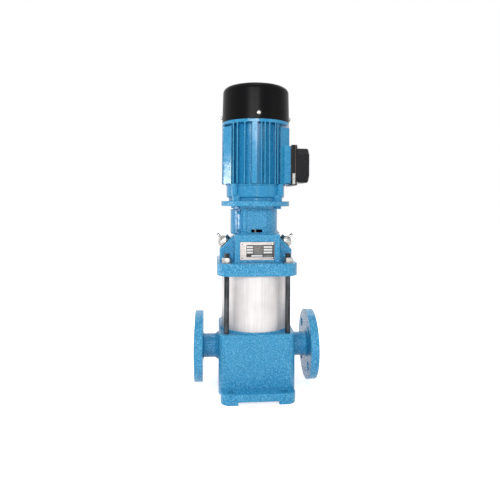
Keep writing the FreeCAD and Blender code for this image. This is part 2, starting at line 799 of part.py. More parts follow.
def make_guard():
    """Raised sheet guard over the window of the stool, with ears and four screws."""
    low, high = "guard_low", "guard_high"
    span = "guard_wide / 2"
    hood = common(ring("stool_diameter / 2 + running_gap", "guard_reach", low, high),
                  block("-guard_reach - 1", 0, f"-({span})", span, low, high))
    room = common(ring(0, "guard_reach - guard_sheet", f"{low} + guard_sheet", f"{high} - guard_sheet"),
                  block("-guard_reach", 0, f"guard_sheet - ({span})", f"{span} - guard_sheet", low, high))
    ears = common(ring("stool_diameter / 2 + running_gap", "stool_diameter / 2 + guard_sheet", low, high),
                  block("-guard_reach", 0, f"-({span}) - guard_ear", f"{span} + guard_ear", low, high))
    window = block("-guard_reach", 0, f"guard_sheet - ({span})", f"{span} - guard_sheet",
                   f"{low} + guard_sheet * 4 / 3", f"{high} - guard_sheet * 4 / 3")
    ears = cut(ears, window)
    holes = [spot(rod("guard_screw / 2 + cover_gap", "guard_screw_long"), "stool_diameter / 2 - 1")
             for spot in guard_screw_spots()]
    keep("coupling_guard", cut(fuse(cut(hood, room), ears), *holes))
    screws = [fuse(spot(rod("guard_screw / 2", "guard_screw_long"),
                        "stool_diameter / 2 - guard_screw_long + guard_sheet"),
                   spot(rod("guard_screw", "screw_head_tall"), "stool_diameter / 2 + guard_sheet"))
              for spot in guard_screw_spots()]
    keep("guard_screws", group(screws))


def make_nameplate():
    """Blank plate with four rivets in the recess on the front of the head."""
    front = "tower_deep / 2"
    half = "plate_wide / 2 - 0.5"
    plate = block(f"-({half})", half, f"-{front} - plate_thick", f"-{front}", "plate_base",
                  "plate_base + plate_tall")
    rivets, holes = [], []
    for side in (-1, 1):
        for level in ("plate_base + rivet_inset", "plate_base + plate_tall - rivet_inset"):
            spot = (f"{side} * (plate_wide / 2 - rivet_inset)", f"-{front} - plate_thick")
            holes.append(rod("rivet_head / 4", "plate_thick + 2", spot[0], f"-{front} + 1", level, "-y"))
            rivets.append(fuse(rod("rivet_head / 4", "plate_thick", spot[0], f"-{front}", level, "-y"),
                               rod("rivet_head / 2", "rivet_proud", *spot, level, "-y")))
    keep("nameplate", cut(plate, *holes))
    keep("nameplate_rivets", group(rivets))


def make_vents():
    """Vent plugs on the shoulders, each with a bleed spindle and its cross bar."""
    for side, way in (("left", -1), ("right", 1)):
        seat = "plug_washer"
        collar = "plug_washer + vent_collar_thick"
        head = f"{collar} + vent_hex_thick"
        cone = document.addObject("Part::Cone", "Cone")
        bind(cone, Radius1="vent_hex / 2", Radius2="vent_cone_top / 2", Height="vent_cone_tall")
        pieces = [tilted(rod("vent_shank / 2", "vent_shank_long + plug_washer"), way, 0, "-vent_shank_long"),
                  tilted(rod("vent_collar / 2", "vent_collar_thick"), way, 0, seat),
                  tilted(hexagon("vent_hex", "vent_hex_thick"), way, 0, collar),
                  tilted(cone, way, 0, head)]
        bore = tilted(rod("vent_pin / 2 + running_gap", "vent_shank_long * 4"), way, 0,
                      "-vent_shank_long - 1")
        keep(f"vent_plug_{side}", cut(fuse(*pieces), bore))
        top = f"{head} + vent_cone_tall + vent_pin_proud"
        spindle = rod("vent_pin / 2", f"{top} + vent_pin_root")
        keep(f"vent_spindle_{side}", tilted(spindle, way, 0, "-vent_pin_root"))
        knob = tilted(rod("vent_head / 2", "vent_head_tall"), way, 0, f"{top} + running_gap")
        bar = rod("vent_bar / 2", "vent_bar_long")
        lift = f"({top} + running_gap + vent_head_tall / 2) / sqrt(2)"
        place(bar, f"{way} * (vent_across + {lift})", "-vent_bar_long / 2", f"vent_level + {lift}",
              ALONG["y"])
        keep(f"vent_handle_{side}", fuse(knob, bar))


def make_stack():
    """Suction ring, four chambers with guide vanes, discharge bowl and the shaft bushes."""
    hub, hub_outer, bush = "suction_bore / 2", "suction_bore / 2 + hub_wall", "bush_diameter / 2"
    top = "stage_base - stack_rim"
    rim = ring(f"{hub} - spoke", "chamber_diameter / 2", top, "stage_base")
    foot = ring(f"{hub} - spoke", hub_outer, "hub_top", f"{top} + 1")
    centre = ring(bush, f"{bush} + spoke", "hub_top", top)
    reach = f"({hub} - 1)"
    arms = [block(f"-{reach}", reach, "-spoke / 2", "spoke / 2", "hub_top", f"{top} - 1"),
            block("-spoke / 2", "spoke / 2", f"-{reach}", reach, "hub_top", f"{top} - 1")]
    bore = rod(bush, "spider_tall + 2", 0, 0, "hub_top - 1")
    keep("suction_ring", cut(fuse(rim, foot, centre, *arms), bore))
    outer, eye = "chamber_diameter / 2", "eye_diameter / 2"
    for number in range(int(value("stages"))):
        low = f"stage_base + {number} * stage_pitch"
        shell = turned((eye, low), (outer, low), (outer, f"{low} + stage_pitch"),
                       (f"{outer} - chamber_wall", f"{low} + stage_pitch"),
                       (f"{outer} - chamber_wall", f"{low} + chamber_wall"), (eye, f"{low} + chamber_wall"))
        if number == 0:
            keep("chamber_1", shell)
            continue
        vanes = blades("guide_vanes", "eye_diameter / 2 + 2", f"{outer} - chamber_wall - 0.5", "guide_bend",
                       "guide_sheet", f"{low} - guide_height", "guide_height + 1")
        keep(f"chamber_{number + 1}", fuse(shell, vanes))
    low, high, floor = "stack_top", "stack_top + bowl_height", "stack_top + bowl_floor"
    bowl = turned((bush, low), (outer, low), (outer, high), (f"{outer} - bowl_rim", high),
                  (f"{outer} - bowl_rim", floor), (f"{bush} + bowl_floor", floor),
                  (f"{bush} + bowl_floor", high), (bush, high))
    number = int(value("bowl_ports"))
    openings = []
    for index in range(number):
        angle = 360 * index / number
        openings.append(rod("bowl_port / 2", "bowl_height", f"bowl_port_circle / 2 * cos({angle})",
                            f"bowl_port_circle / 2 * sin({angle})", f"{low} - 1"))
        start = f"({outer} - bowl_rim - 2)"
        openings.append(place(rod("bowl_window / 2", "bowl_rim + 5"), f"{start} * cos({angle})",
                              f"{start} * sin({angle})", f"({floor} + {high}) / 2",
                              turn((0, 0, 1), angle).multiply(ALONG["x"])))
    keep("discharge_bowl", cut(bowl, *openings))
    shaft = "pump_shaft / 2 + running_gap"
    keep("shaft_bushes", group([ring(shaft, bush, "hub_top", "stage_base - stack_rim"),
                                ring(shaft, bush, low, high)]))


def make_impellers():
    """Shrouded impellers, the spacer sleeves between them and the pump shaft."""
    shaft, eye, rim = "pump_shaft / 2", "eye_diameter / 2 - eye_gap", "impeller_diameter / 2"
    floor = "stage_base + chamber_wall"
    plate = "impeller_sheet"
    front = f"{floor} + side_gap"
    back = f"{front} + {plate} + vane_height"
    mouth = turned((f"{eye} - {plate}", "stage_base"), (eye, "stage_base"), (eye, front), (rim, front),
                   (rim, f"{front} + {plate}"), (f"{eye} - {plate}", f"{front} + {plate}"))
    rear = turned((shaft, back), (rim, back), (rim, f"{back} + {plate}"),
                  ("hub_diameter / 2", f"{back} + {plate}"), (shaft, f"{back} + {plate}"))
    hub = ring(shaft, "hub_diameter / 2", front, f"{back} + {plate}")
    vanes = blades("impeller_vanes", "hub_diameter / 2 + vane_start", f"{rim} - 0.5", "impeller_bend", plate,
                   f"{front} + {plate} - 0.5", "vane_height + 1")
    first = fuse(mouth, rear, hub, vanes)
    keep("impeller_1", first)
    spacers = []
    for number in range(1, int(value("stages"))):
        keep(f"impeller_{number + 1}", place(group([first]), 0, 0, f"{number} * stage_pitch"))
        spacers.append(ring(shaft, "spacer_diameter / 2", f"{back} + {plate} + {number - 1} * stage_pitch",
                            f"{front} + {number} * stage_pitch"))
    keep("impeller_spacers", group(spacers))
    end = "shaft_split - shaft_end_gap"
    keep("pump_shaft", turned((0, "hub_top - 4"), (shaft, "hub_top - 4"), (shaft, end), (0, end)))


def make_seal():
    """Shaft seal: fixed seat in the head, turning ring, rubber bellows and collar."""
    shaft = "pump_shaft / 2"
    keep("seal_seat", ring(f"{shaft} + 0.8", "seal_seat / 2", "seal_level", "seal_roof"))
    face = "seal_level - running_gap"
    ring_low = f"{face} - seal_ring_tall"
    keep("seal_ring", ring(shaft, "seal_ring / 2", ring_low, face))
    bellows_low = f"{ring_low} - seal_bellows_tall"
    folds = int(value("seal_folds"))
    profile = [(shaft, bellows_low)]
    for index in range(2 * folds + 1):
        crest = "seal_ring / 2" if index % 2 == 0 else "seal_ring / 2 - seal_fold"
        profile.append((crest, f"{bellows_low} + seal_bellows_tall * {index} / {2 * folds}"))
    profile.append((shaft, ring_low))
    keep("seal_bellows", turned(*profile))
    keep("seal_collar", ring(shaft, "seal_collar / 2", f"{bellows_low} - seal_collar_tall", bellows_low))


def make_coupling():
    """Clamped coupling of two half shells with four screws, and the motor shaft."""
    outer = "coupling_diameter / 2"
    barrel = turned(("pump_shaft / 2", "coupling_low"), (f"{outer} - coupling_edge", "coupling_low"),
                    (outer, "coupling_low + coupling_edge"),
                    (outer, "coupling_low + coupling_height - coupling_edge"),
                    (f"{outer} - coupling_edge", "coupling_low + coupling_height"),
                    ("motor_shaft / 2", "coupling_low + coupling_height"), ("motor_shaft / 2", "shaft_split"),
                    ("pump_shaft / 2", "shaft_split"))
    half_gap = "coupling_split / 2"
    levels = ("coupling_low + coupling_height / 4", "coupling_low + coupling_height * 3 / 4")
    offset = "(motor_shaft / 2 + coupling_diameter / 2) / 2"
    screws, holes, heads = [], [], []
    for level in levels:
        for side in (-1, 1):
            across = f"{side} * ({offset})"
            holes.append(rod("coupling_screw / 2", "coupling_diameter", across, "-coupling_diameter / 2",
                             level, "y"))
            seat = (across, "-coupling_screw_long / 2", level)
            heads.append(rod("coupling_screw_head / 2 + paint_gap", "coupling_diameter", *seat, "-y"))
            screws.append(fuse(rod("coupling_screw / 2", "coupling_screw_long", *seat, "y"),
                               rod("coupling_screw_head / 2", "coupling_screw", *seat, "-y")))
    front = cut(common(barrel, block(f"-({outer})", outer, f"-({outer})", f"-{half_gap}", "coupling_low",
                                     "coupling_low + coupling_height")), *holes, *heads)
    back = cut(common(barrel, block(f"-({outer})", outer, half_gap, outer, "coupling_low",
                                    "coupling_low + coupling_height")), *holes)
    keep("coupling_front", front)
    keep("coupling_back", back)
    keep("coupling_screws", group(screws))
    shaft = "motor_shaft / 2"
    journal = "bearing_inner / 2 - shaft_step"
    keep("motor_shaft", turned((0, "shaft_split"), (shaft, "shaft_split"), (shaft, "drive_bearing"),
                               (journal, "drive_bearing"), (journal, "drive_bearing + bearing_wide"),
                               ("bearing_inner / 2", "drive_bearing + bearing_wide"),
                               ("bearing_inner / 2", "fan_bearing"), (journal, "fan_bearing"),
                               (journal, "fan_low + fan_tall"), (0, "fan_low + fan_tall")))


RIGHT_ANGLES = (0, 90, 180, 270)
# Front and back fins as shares of the frame's radius: the casting has them unevenly spaced
FIN_SHARES = (-0.696, -0.587, -0.387, 0.077, 0.18, 0.312, 0.486, 0.558)


def screw_way(item, degrees, radius):
    """Points a piece outwards at the level of the fan cover screws."""
    around = turn((0, 0, 1), degrees).multiply(ALONG["x"])
    return place(item, f"({radius}) * cos({degrees})", f"({radius}) * sin({degrees})", "cover_screw_level",
                 around)


def make_motor():
    """Motor: two end shields, finned frame, stator, rotor and bearings."""
    inner = "frame_bore / 2"
    seat = "bearing_outer / 2"
    foot = "stool_top - spigot_deep + race_gap"
    shell = turned(("motor_shaft / 2 + 1", foot), ("spigot / 2", foot),
                   ("spigot / 2", "stool_top"), ("shield_neck / 2", "stool_top"),
                   ("shield_neck / 2", "shield_neck_top"),
                   ("shield_diameter / 2 - shield_edge", "shield_neck_top"),
                   ("shield_diameter / 2", "shield_neck_top + shield_edge"),
                   ("shield_diameter / 2", "shield_top - rim_tall"),
                   ("shield_diameter / 2 + rim_proud", "shield_top - rim_tall"),
                   ("shield_diameter / 2 + rim_proud", "shield_top"),
                   (inner, "shield_top"), (inner, "shield_neck_top + shield_floor"),
                   (f"{seat} + bearing_wall", "shield_neck_top + shield_floor"),
                   (f"{seat} + bearing_wall", "drive_bearing + bearing_wide + 1"),
                   (seat, "drive_bearing + bearing_wide + 1"), (seat, "drive_bearing"),
                   ("motor_shaft / 2 + 1", "drive_bearing"))
    lugs, bosses, holes = [], [], []
    for across, deep in sides():
        reach = "(shield_diameter / 2 + lug_rise) / sqrt(2)"
        spot = (f"{across} * {reach}", f"{deep} * {reach}")
        lugs.append(rod("lug_diameter / 2", "shield_top - shield_neck_top - 2 * shield_edge", *spot,
                        "shield_neck_top + 2 * shield_edge"))
        spot = (f"{across} * motor_circle / 2 * cos(45)", f"{deep} * motor_circle / 2 * cos(45)")
        bosses.append(rod("boss_diameter / 2", "bolt_bite + 1 + boss_roof", *spot, "stool_top"))
        holes.append(rod("motor_bolt / 2", "bolt_bite + 2", *spot, "stool_top - 1"))
    keep("lower_end_shield", cut(fuse(shell, *lugs, *bosses), *holes))
    bolts = []
    for across, deep in sides():
        spot = (f"{across} * motor_circle / 2 * cos(45)", f"{deep} * motor_circle / 2 * cos(45)")
        bolts.append(fuse(rod("motor_bolt / 2", "stool_flange_thick + bolt_bite", *spot,
                              "stool_top - stool_flange_thick"),
                          hexagon("motor_bolt_flats", "motor_bolt_head", *spot,
                                  "stool_top - stool_flange_thick - motor_bolt_head")))
    keep("motor_flange_bolts", group(bolts))

    low, tall = "shield_top", "frame_top - shield_top"
    reach = "frame_envelope / 2"
    envelope = rod(reach, tall, 0, 0, low)
    inside = [rod("frame_core / 2", tall, 0, 0, low),
              block("-pad_left", "pad_wide - pad_left", f"-({reach})", reach, low, "frame_top"),
              block(f"-({reach})", 0, "-pad_wide / 2", "pad_wide / 2", low, "frame_top")]
    for share in FIN_SHARES:
        inside.append(block(f"{share} * {reach} - fin_thick / 2", f"{share} * {reach} + fin_thick / 2",
                            f"-({reach})", reach, low, "frame_top"))
    for side in (-1, 1):
        inside.append(block(f"-({reach})", 0, f"{side} * fin_pitch - fin_thick / 2",
                            f"{side} * fin_pitch + fin_thick / 2", low, "frame_top"))
    finned = common(envelope, fuse(*inside))
    corners = []
    for front in (-1, 1):
        for side, inward in ((-1, "block_left"), (1, "block_right")):
            corners.append(slab(((f"{side} * {inward}", f"{front} * block_near"),
                                 (f"{side} * {inward}", f"{front} * block_face"),
                                 (f"{side} * block_outer", f"{front} * block_shoulder"),
                                 (f"{side} * block_outer", f"{front} * block_near")),
                                "XY_Plane", low, f"block_top - {low}"))
    root = "frame_core / 2 - pedestal_root"
    pedestal = slab(((root, "box_low + pedestal_inset"), ("box_pedestal", "box_low + pedestal_slope"),
                     ("box_pedestal", "box_low + box_tall - pedestal_slope"),
                     ("frame_core / 2", "box_low + box_tall + pedestal_slope"),
                     (root, "box_low + box_tall + pedestal_slope")), "XZ_Plane",
                    "pedestal_inset - box_deep / 2", "box_deep - 2 * pedestal_inset")
    bore = rod(inner, f"{tall} + 2", 0, 0, f"{low} - 1")
    trim = rod("frame_core", "box_post", 0, 0, f"{low} - box_post")
    opening = block("frame_bore / 4", "box_pedestal + 1", "-box_port_wide / 2", "box_port_wide / 2",
                    "box_middle - box_port_tall / 2", "box_middle + box_port_tall / 2")
    step = turned(("cover_diameter / 2 - cover_wall - cover_gap", "cover_low - cover_gap"),
                  ("frame_core", "cover_low - cover_gap"), ("frame_core", "cover_top"),
                  ("cover_crown / 2 - cover_wall - cover_gap", "cover_top"))
    taps = [screw_way(rod("cover_screw / 2", "cover_screw_long + 1"), degrees,
                      "cover_diameter / 2 - cover_screw_long") for degrees in RIGHT_ANGLES]
    band = ring("frame_core / 2 - 1", reach, "cover_low - frame_band", "frame_top")
    keep("motor_frame", cut(fuse(finned, band, *corners, pedestal), bore, trim, opening, step, *taps))
    keep("stator_core", ring("stator_bore / 2", inner, "stator_low", "stator_high"))
    keep("stator_windings", group([
        ring("winding_inner / 2", "winding_outer / 2", "stator_low - winding_tall", "stator_low"),
        ring("winding_inner / 2", "winding_outer / 2", "stator_high", "stator_high + winding_tall")]))
    shaft = "bearing_inner / 2"
    end_rings = ring("stator_bore / 4", "stator_bore / 2 - air_gap - 2", "stator_low - rotor_ring_tall",
                     "stator_high + rotor_ring_tall")
    keep("rotor_core", fuse(ring(shaft, "stator_bore / 2 - air_gap", "stator_low", "stator_high"), end_rings))
    upper = turned((f"{shaft} + 1", "frame_top - 6"), (inner, "frame_top - 6"), (inner, "frame_top"),
                   ("shield_diameter / 2 - shield_edge", "frame_top"),
                   ("shield_diameter / 2 - shield_edge", "frame_top + 2 * shield_edge"),
                   (f"{seat} + bearing_wall", "frame_top + upper_shield_tall"),
                   ("bearing_inner / 2 - 1", "frame_top + upper_shield_tall"),
                   ("bearing_inner / 2 - 1", "fan_bearing + bearing_wide"),
                   (seat, "fan_bearing + bearing_wide"), (seat, "fan_bearing"), (seat, "frame_top - 2"),
                   (f"{shaft} + 1", "frame_top - 2"))
    keep("upper_end_shield", upper)
    outer_rings, inner_rings, balls = [], [], []
    track = "(bearing_lip + bearing_inner) / 4"
    race = "(ball_size / 2 + race_gap)"
    for level in ("drive_bearing", "fan_bearing"):
        middle = f"{level} + bearing_wide / 2"
        for rings, rim, back, groove in ((outer_rings, "bearing_lip / 2", seat, f"{track} + {race}"),
                                         (inner_rings, shaft, f"{shaft} - shaft_step", f"{track} - {race}")):
            top = f"{level} + bearing_wide"
            rings.append(turned((back, level), (rim, level), (rim, f"{middle} - {race}"),
                                (groove, f"{middle} - {race}"), (groove, f"{middle} + {race}"),
                                (rim, f"{middle} + {race}"), (rim, top), (back, top)))
        number = int(value("balls"))
        for index in range(number):
            ball = document.addObject("Part::Sphere", "Ball")
            bind(ball, Radius="ball_size / 2")
            angle = 360 * index / number
            balls.append(place(ball, f"({track}) * cos({angle:.3f})", f"({track}) * sin({angle:.3f})",
                               middle))
    keep("bearing_outer_rings", group(outer_rings))
    keep("bearing_inner_rings", group(inner_rings))
    keep("bearing_balls", group(balls))


def make_fan():
    """Fan on the upper shaft end and its cover with the intake slots and screws."""
    shaft = "bearing_inner / 2 - shaft_step"
    hub = ring(shaft, "bearing_inner / 2 + fan_hub", "fan_low", "fan_low + fan_tall")
    disc = ring("bearing_inner / 2 + fan_sheet", "fan_diameter / 2 - fan_rim", "fan_low",
                "fan_low + fan_sheet")
    paddles = []
    number = int(value("fan_blades"))
    for index in range(number):
        paddle = document.addObject("Part::Box", "Paddle")
        bind(paddle, Length="fan_diameter / 2 - bearing_inner / 2 - fan_hub + 1", Width="fan_sheet",
             Height="fan_tall - fan_sheet")
        angle = 360 * index / number
        start = "(bearing_inner / 2 + fan_hub - 1)"
        paddles.append(place(paddle, f"{start} * cos({angle:.3f})", f"{start} * sin({angle:.3f})", "fan_low",
                             turn((0, 0, 1), angle)))
    keep("fan", fuse(hub, disc, *paddles))
    outer, crown, wall = "cover_diameter / 2", "cover_crown / 2", "cover_wall"
    shell = turned((0, "cover_low"), (outer, "cover_low"), (crown, "cover_top"), (0, "cover_top"))
    rounded(shell, "cover_round", level_edge("cover_top"))
    room = turned((0, "cover_low - 1"), (f"{outer} - {wall}", "cover_low - 1"),
                  (f"{crown} - {wall}", f"cover_top - {wall}"), (0, f"cover_top - {wall}"))
    rounded(room, "cover_round - cover_wall", level_edge("cover_top - cover_wall"))
    slots = []
    number = int(value("grille_slots"))
    for index in range(number):
        slot = document.addObject("Part::Box", "Slot")
        bind(slot, Length="grille_outer - grille_inner", Width="grille_slot", Height="cover_wall * 4")
        angle = 360 * index / number
        slots.append(place(slot, f"grille_inner * cos({angle}) + grille_slot / 2 * sin({angle})",
                           f"grille_inner * sin({angle}) - grille_slot / 2 * cos({angle})",
                           "cover_top - cover_wall * 2", turn((0, 0, 1), angle)))
    seat = f"{outer} + race_gap"
    holes = [screw_way(rod("cover_screw / 2 + cover_gap", "cover_screw_long"), degrees,
                       f"{outer} - cover_screw_long / 2") for degrees in RIGHT_ANGLES]
    screws = [fuse(screw_way(rod("cover_screw / 2", "cover_screw_long + screw_head_tall / 2"), degrees,
                             f"{outer} - cover_screw_long"),
                   screw_way(rod("cover_screw", "screw_head_tall"), degrees, seat))
              for degrees in RIGHT_ANGLES]
    keep("fan_cover", cut(shell, room, *slots, *holes))
    keep("fan_cover_screws", group(screws))


def make_terminal_box():
    """Terminal box on the +X side: base, gaskets, cover, screws, board with studs, gland and earth clip."""
    half, low, high = "box_deep / 2", "box_low", "box_low + box_tall"
    back, wall, face = "box_back", "box_wall", "box_face"

    def room(left, right, side, border):
        return block(left, right, f"-({side})", side, f"{low} + {border}", f"{high} - {border}")

    def doorway(left, right):
        return block(left, right, "-box_port_wide / 2", "box_port_wide / 2", "box_middle - box_port_tall / 2",
                     "box_middle + box_port_tall / 2")

    def posts(left, right):
        """The four corner posts that the cover screws go into."""
        across = ((f"-{half}", f"box_post - {half}"), (f"{half} - box_post", half))
        levels = ((low, f"{low} + box_post"), (f"{high} - box_post", high))
        return [block(left, right, *side, *level) for side in across for level in levels]

    middle = f"({face} + {wall} + box_cover_reach) / 2"
    gland_hole = rod("gland_thread / 2", f"{wall} * 4", middle, f"cover_half - {wall} * 2", "box_middle", "y")
    spots = [(f"{side} * ({half} - box_screw_inset)", level) for side in (-1, 1)
             for level in (f"{low} + box_screw_inset", f"{high} - box_screw_inset")]
    taps = [rod("box_screw / 2", "box_deep / 2", f"{back} + {wall}", deep, level, "x")
            for deep, level in spots]
    inner = f"{half} - {wall}"
    hollow = cut(room(f"{back} + {wall}", "box_rim + 1", inner, wall), *posts(back, "box_rim + 1"))
    keep("terminal_base", cut(room(back, "box_rim", half, 0), hollow,
                              doorway(f"{back} - 1", f"{back} + {wall} + 1"), *taps))
    ring_hole = cut(room("box_rim - 1", f"{face} + 1", inner, wall), *posts("box_rim - 1", f"{face} + 1"))
    seal = cut(room("box_rim", face, half, 0), ring_hole, *taps)
    rear_seal = cut(room("box_pedestal", back, f"{half} - pedestal_inset", "pedestal_inset"),
                    doorway("box_pedestal - 1", f"{back} + 1"))
    keep("terminal_gasket", group([seal, rear_seal]))
    inset, bevel = "box_cover_inset", "box_cover_bevel"
    dome = room(face, "box_cover_reach", "cover_half", inset)
    dome = bevelled(dome, value(bevel), lambda edge: edge.BoundBox.XLength > value(wall))
    dome = bevelled(dome, value(wall), lambda edge: edge.BoundBox.XMin > value("box_cover_reach") - 1e-3)
    cavity = room(f"{face} - 1", f"box_cover_reach - {wall}", f"cover_half - {wall}", f"{inset} + {wall}")
    cavity = bevelled(cavity, value(bevel), lambda edge: edge.BoundBox.XLength > value(wall))
    flange = room(face, f"{face} + {wall}", half, 0)
    keep("terminal_cover", cut(fuse(flange, dome), cavity, gland_hole, *taps))
    screws = [fuse(rod("box_screw / 2", f"{face} - {back} - 1", f"{back} + {wall} + 1", deep, level, "x"),
                   rod("box_screw_head / 2", "screw_head_tall", f"{face} + {wall}", deep, level, "x"))
              for deep, level in spots]
    board_low = "box_middle - board_drop"
    keep("terminal_board", block(f"{back} + {wall}", f"{back} + {wall} + board_thick", "-board_wide / 2",
                                 "board_wide / 2", board_low, f"{board_low} + board_tall"))
    count = int(value("studs"))
    studs = [rod("stud_diameter / 2", "stud_tall", f"{back} + {wall} + board_thick",
                 f"stud_pitch * {index - (count - 1) / 2}", f"{board_low} + board_tall / 2", "x")
             for index in range(count)]
    keep("terminal_studs", group(studs))
    barrel = fuse(rod("gland_thread / 2", f"{wall} * 2", middle, f"cover_half - {wall} * 2", "box_middle",
                      "y"),
                  hexagon("gland_flats", "gland_hex", middle, "cover_half", "box_middle", "y"),
                  rod("gland_flats / 2 - 1", "gland_reach - gland_hex", middle, "cover_half + gland_hex",
                      "box_middle", "y"))
    keep("cable_gland", cut(barrel, rod("gland_bore / 2", "gland_reach + box_deep / 4", middle,
                                        "cover_half - box_deep / 8", "box_middle", "y")))
    left = f"{back} + 1"
    clip = block(left, f"{left} + clip_wide", f"-({half} + clip_sheet)", f"-({half})", f"{low} + 2",
                 f"{low} + 2 + clip_tall")
    screw = rod("clip_screw / 2", "clip_screw / 2", f"{left} + clip_wide / 2", f"-({half} + clip_sheet)",
                f"{low} + 2 + clip_tall / 2", "-y")
    keep("terminal_screws", group(screws + [fuse(clip, screw)]))


def bevelled(item, size, pick):
    """Chamfers those edges of a solid that a test picks."""
    document.recompute()
    bevel = document.addObject("Part::Chamfer", "Bevel")
    bevel.Base = item
    edges = enumerate(item.Shape.Edges, start=1)
    bevel.Edges = [(number, size, size) for number, edge in edges if pick(edge)]
    return bevel


make_base()
make_drain()
make_washers()
make_sleeve()
make_head()
make_guard()
make_nameplate()
make_vents()
make_stack()
make_impellers()
make_seal()
make_coupling()
make_motor()
make_fan()
make_terminal_box()

document.recompute()
for item in document.Objects:
    if "Invalid" in item.State or "Error" in item.State:
        raise RuntimeError(f"{item.Name} failed: {item.State}")
os.makedirs("parts", exist_ok=True)
for item in finished:
    if item.Shape.isNull() or not item.Shape.isValid():
        raise RuntimeError(f"{item.Label} has no valid shape")
for item in finished:
    item.Shape.exportStep(f"parts/{item.Label}.step")
    print(f"{item.Label}: {len(item.Shape.Solids)} solids, {item.Shape.Volume:.1f} mm3")
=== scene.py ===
"""Looks of a vertical multistage pump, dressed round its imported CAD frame. Metres, +Z is up."""

from collections import namedtuple
import math

import bmesh
import bpy
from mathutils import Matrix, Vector


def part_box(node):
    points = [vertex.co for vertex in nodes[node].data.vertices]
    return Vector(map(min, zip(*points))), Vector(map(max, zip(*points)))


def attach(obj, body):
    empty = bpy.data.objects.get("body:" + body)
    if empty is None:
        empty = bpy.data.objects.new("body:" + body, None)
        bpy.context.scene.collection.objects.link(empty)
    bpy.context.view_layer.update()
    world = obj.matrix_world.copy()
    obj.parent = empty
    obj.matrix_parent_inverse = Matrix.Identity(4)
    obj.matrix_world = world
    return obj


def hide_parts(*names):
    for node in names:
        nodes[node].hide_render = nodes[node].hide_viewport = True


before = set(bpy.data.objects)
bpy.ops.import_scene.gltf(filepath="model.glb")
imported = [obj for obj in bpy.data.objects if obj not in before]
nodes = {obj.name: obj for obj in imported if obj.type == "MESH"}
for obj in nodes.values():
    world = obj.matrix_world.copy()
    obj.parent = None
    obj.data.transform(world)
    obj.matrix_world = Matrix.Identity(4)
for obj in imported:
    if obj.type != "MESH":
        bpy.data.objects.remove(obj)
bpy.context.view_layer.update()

MM = 0.001

# The photograph's view: a level camera, 5 degrees to the left of the front
PHOTO_SIDE = 500
FOCAL_PIXELS = 460
CAMERA_DISTANCE = 0.95
CAMERA_AZIMUTH = math.radians(-5)
CAMERA_HEIGHT = 0.375
CAMERA_ROLL = math.radians(-0.35)
HORIZON_ROW = 201.2
AXIS_COLUMN = 255.3
SENSOR = 36

# Detail sizes that the frame doesn't give
THREAD_PITCH = 1.5 * MM
THREAD_PROUD = 0.35 * MM
DOME_RISE = 0.9 * MM
DOME_SUNK = 0.02 * MM
GLAND_CAP = 13 * MM
GLAND_RADIUS = 8.5 * MM
GLAND_RIBS = 18
GLAND_RIB_WIDE = 1.4 * MM
GLAND_RIB_SHORT = 1 * MM
INK_THICK = 0.05 * MM
COVER_WALL = 2.5 * MM
COVER_SHOULDER = 12.5 * MM

# Shares: the cross recess of a screw's radius and rise, the room that keeps its upper half of its
# radius, the chamfer of a hexagon's radius and height
RECESS_WIDE = 0.18
RECESS_LONG = 1.1
RECESS_DEEP = 1.5
DOME_ROOM = 1.5
HEXAGON_FLAT = 0.84
HEXAGON_SLOPE = 2.2

# Corners of a bore or shank
ROUND_CORNERS = 32

# Points nearer than this are one point, and lie on one level
SAME_POINT = 1e-6
SAME_LEVEL = 1e-5
# Corners of a head reach at least this share of its radius
NEARLY_ALL = 0.98

# Widths of what the shaders draw
EDGE_WEAR = 1.6 * MM
SWELL_WIDE = 28 * MM
CLOUD_WIDE = 45 * MM

# Strength of the surround as a light and as it is seen, and of the floor's glow as it is seen, and
# half the floor's width
SURROUND_LIGHT = 0.50
SURROUND_SEEN = 1.0
FLOOR_SEEN = 0.62
FLOOR_HALF = 4


# Colours and materials

def hue(code):
    """Linear colour of an sRGB hex value."""
    shares = [int(code[start:start + 2], 16) / 255 for start in (0, 2, 4)]
    return [share / 12.92 if share <= 0.04045 else ((share + 0.055) / 1.055) ** 2.4
            for share in shares] + [1]


def add(tree, kind, inputs=None, **settings):
    """Adds a node with its settings, and its inputs as values or as what to link: a socket, a node
    for its first output, or a list of these."""
    node = tree.nodes.new(kind)
    for name, value in settings.items():
        setattr(node, name, value)
    for name, value in (inputs or {}).items():
        sources = value if isinstance(value, list) else [value]
        if isinstance(sources[0], (bpy.types.Node, bpy.types.NodeSocket)):
            for source in sources:
                socket = source.outputs[0] if isinstance(source, bpy.types.Node) else source
                tree.links.new(socket, node.inputs[name])
        else:
            node.inputs[name].default_value = value
    return node


def emptied(block):
    """The tree of a material or world, without the nodes that it starts with."""
    block.use_nodes = True
    block.node_tree.nodes.clear()
    return block.node_tree


def new_material(name):
    """An empty material with its tree and a point on the piece to draw patterns from."""
    material = bpy.data.materials.new(name)
    tree = emptied(material)
    spot = add(tree, "ShaderNodeTexCoord").outputs["Object"]
    return material, tree, spot


def close_material(tree, **inputs):
    """Ends a material's tree with its shader."""
    names = {name.replace("_", " "): value for name, value in inputs.items()}
    shader = add(tree, "ShaderNodeBsdfPrincipled", names)
    add(tree, "ShaderNodeOutputMaterial", {"Surface": shader})


def shades(tree, factor, *stops):
    """Colours laid over a factor, as pairs of place and hex value."""
    ramp = add(tree, "ShaderNodeValToRGB", {"Fac": factor})
    marks = ramp.color_ramp.elements
    while len(marks) < len(stops):
        marks.new(0.5)
    for mark, (place, code) in zip(marks, stops):
        mark.position, mark.color = place, hue(code)
    return ramp.outputs["Color"]


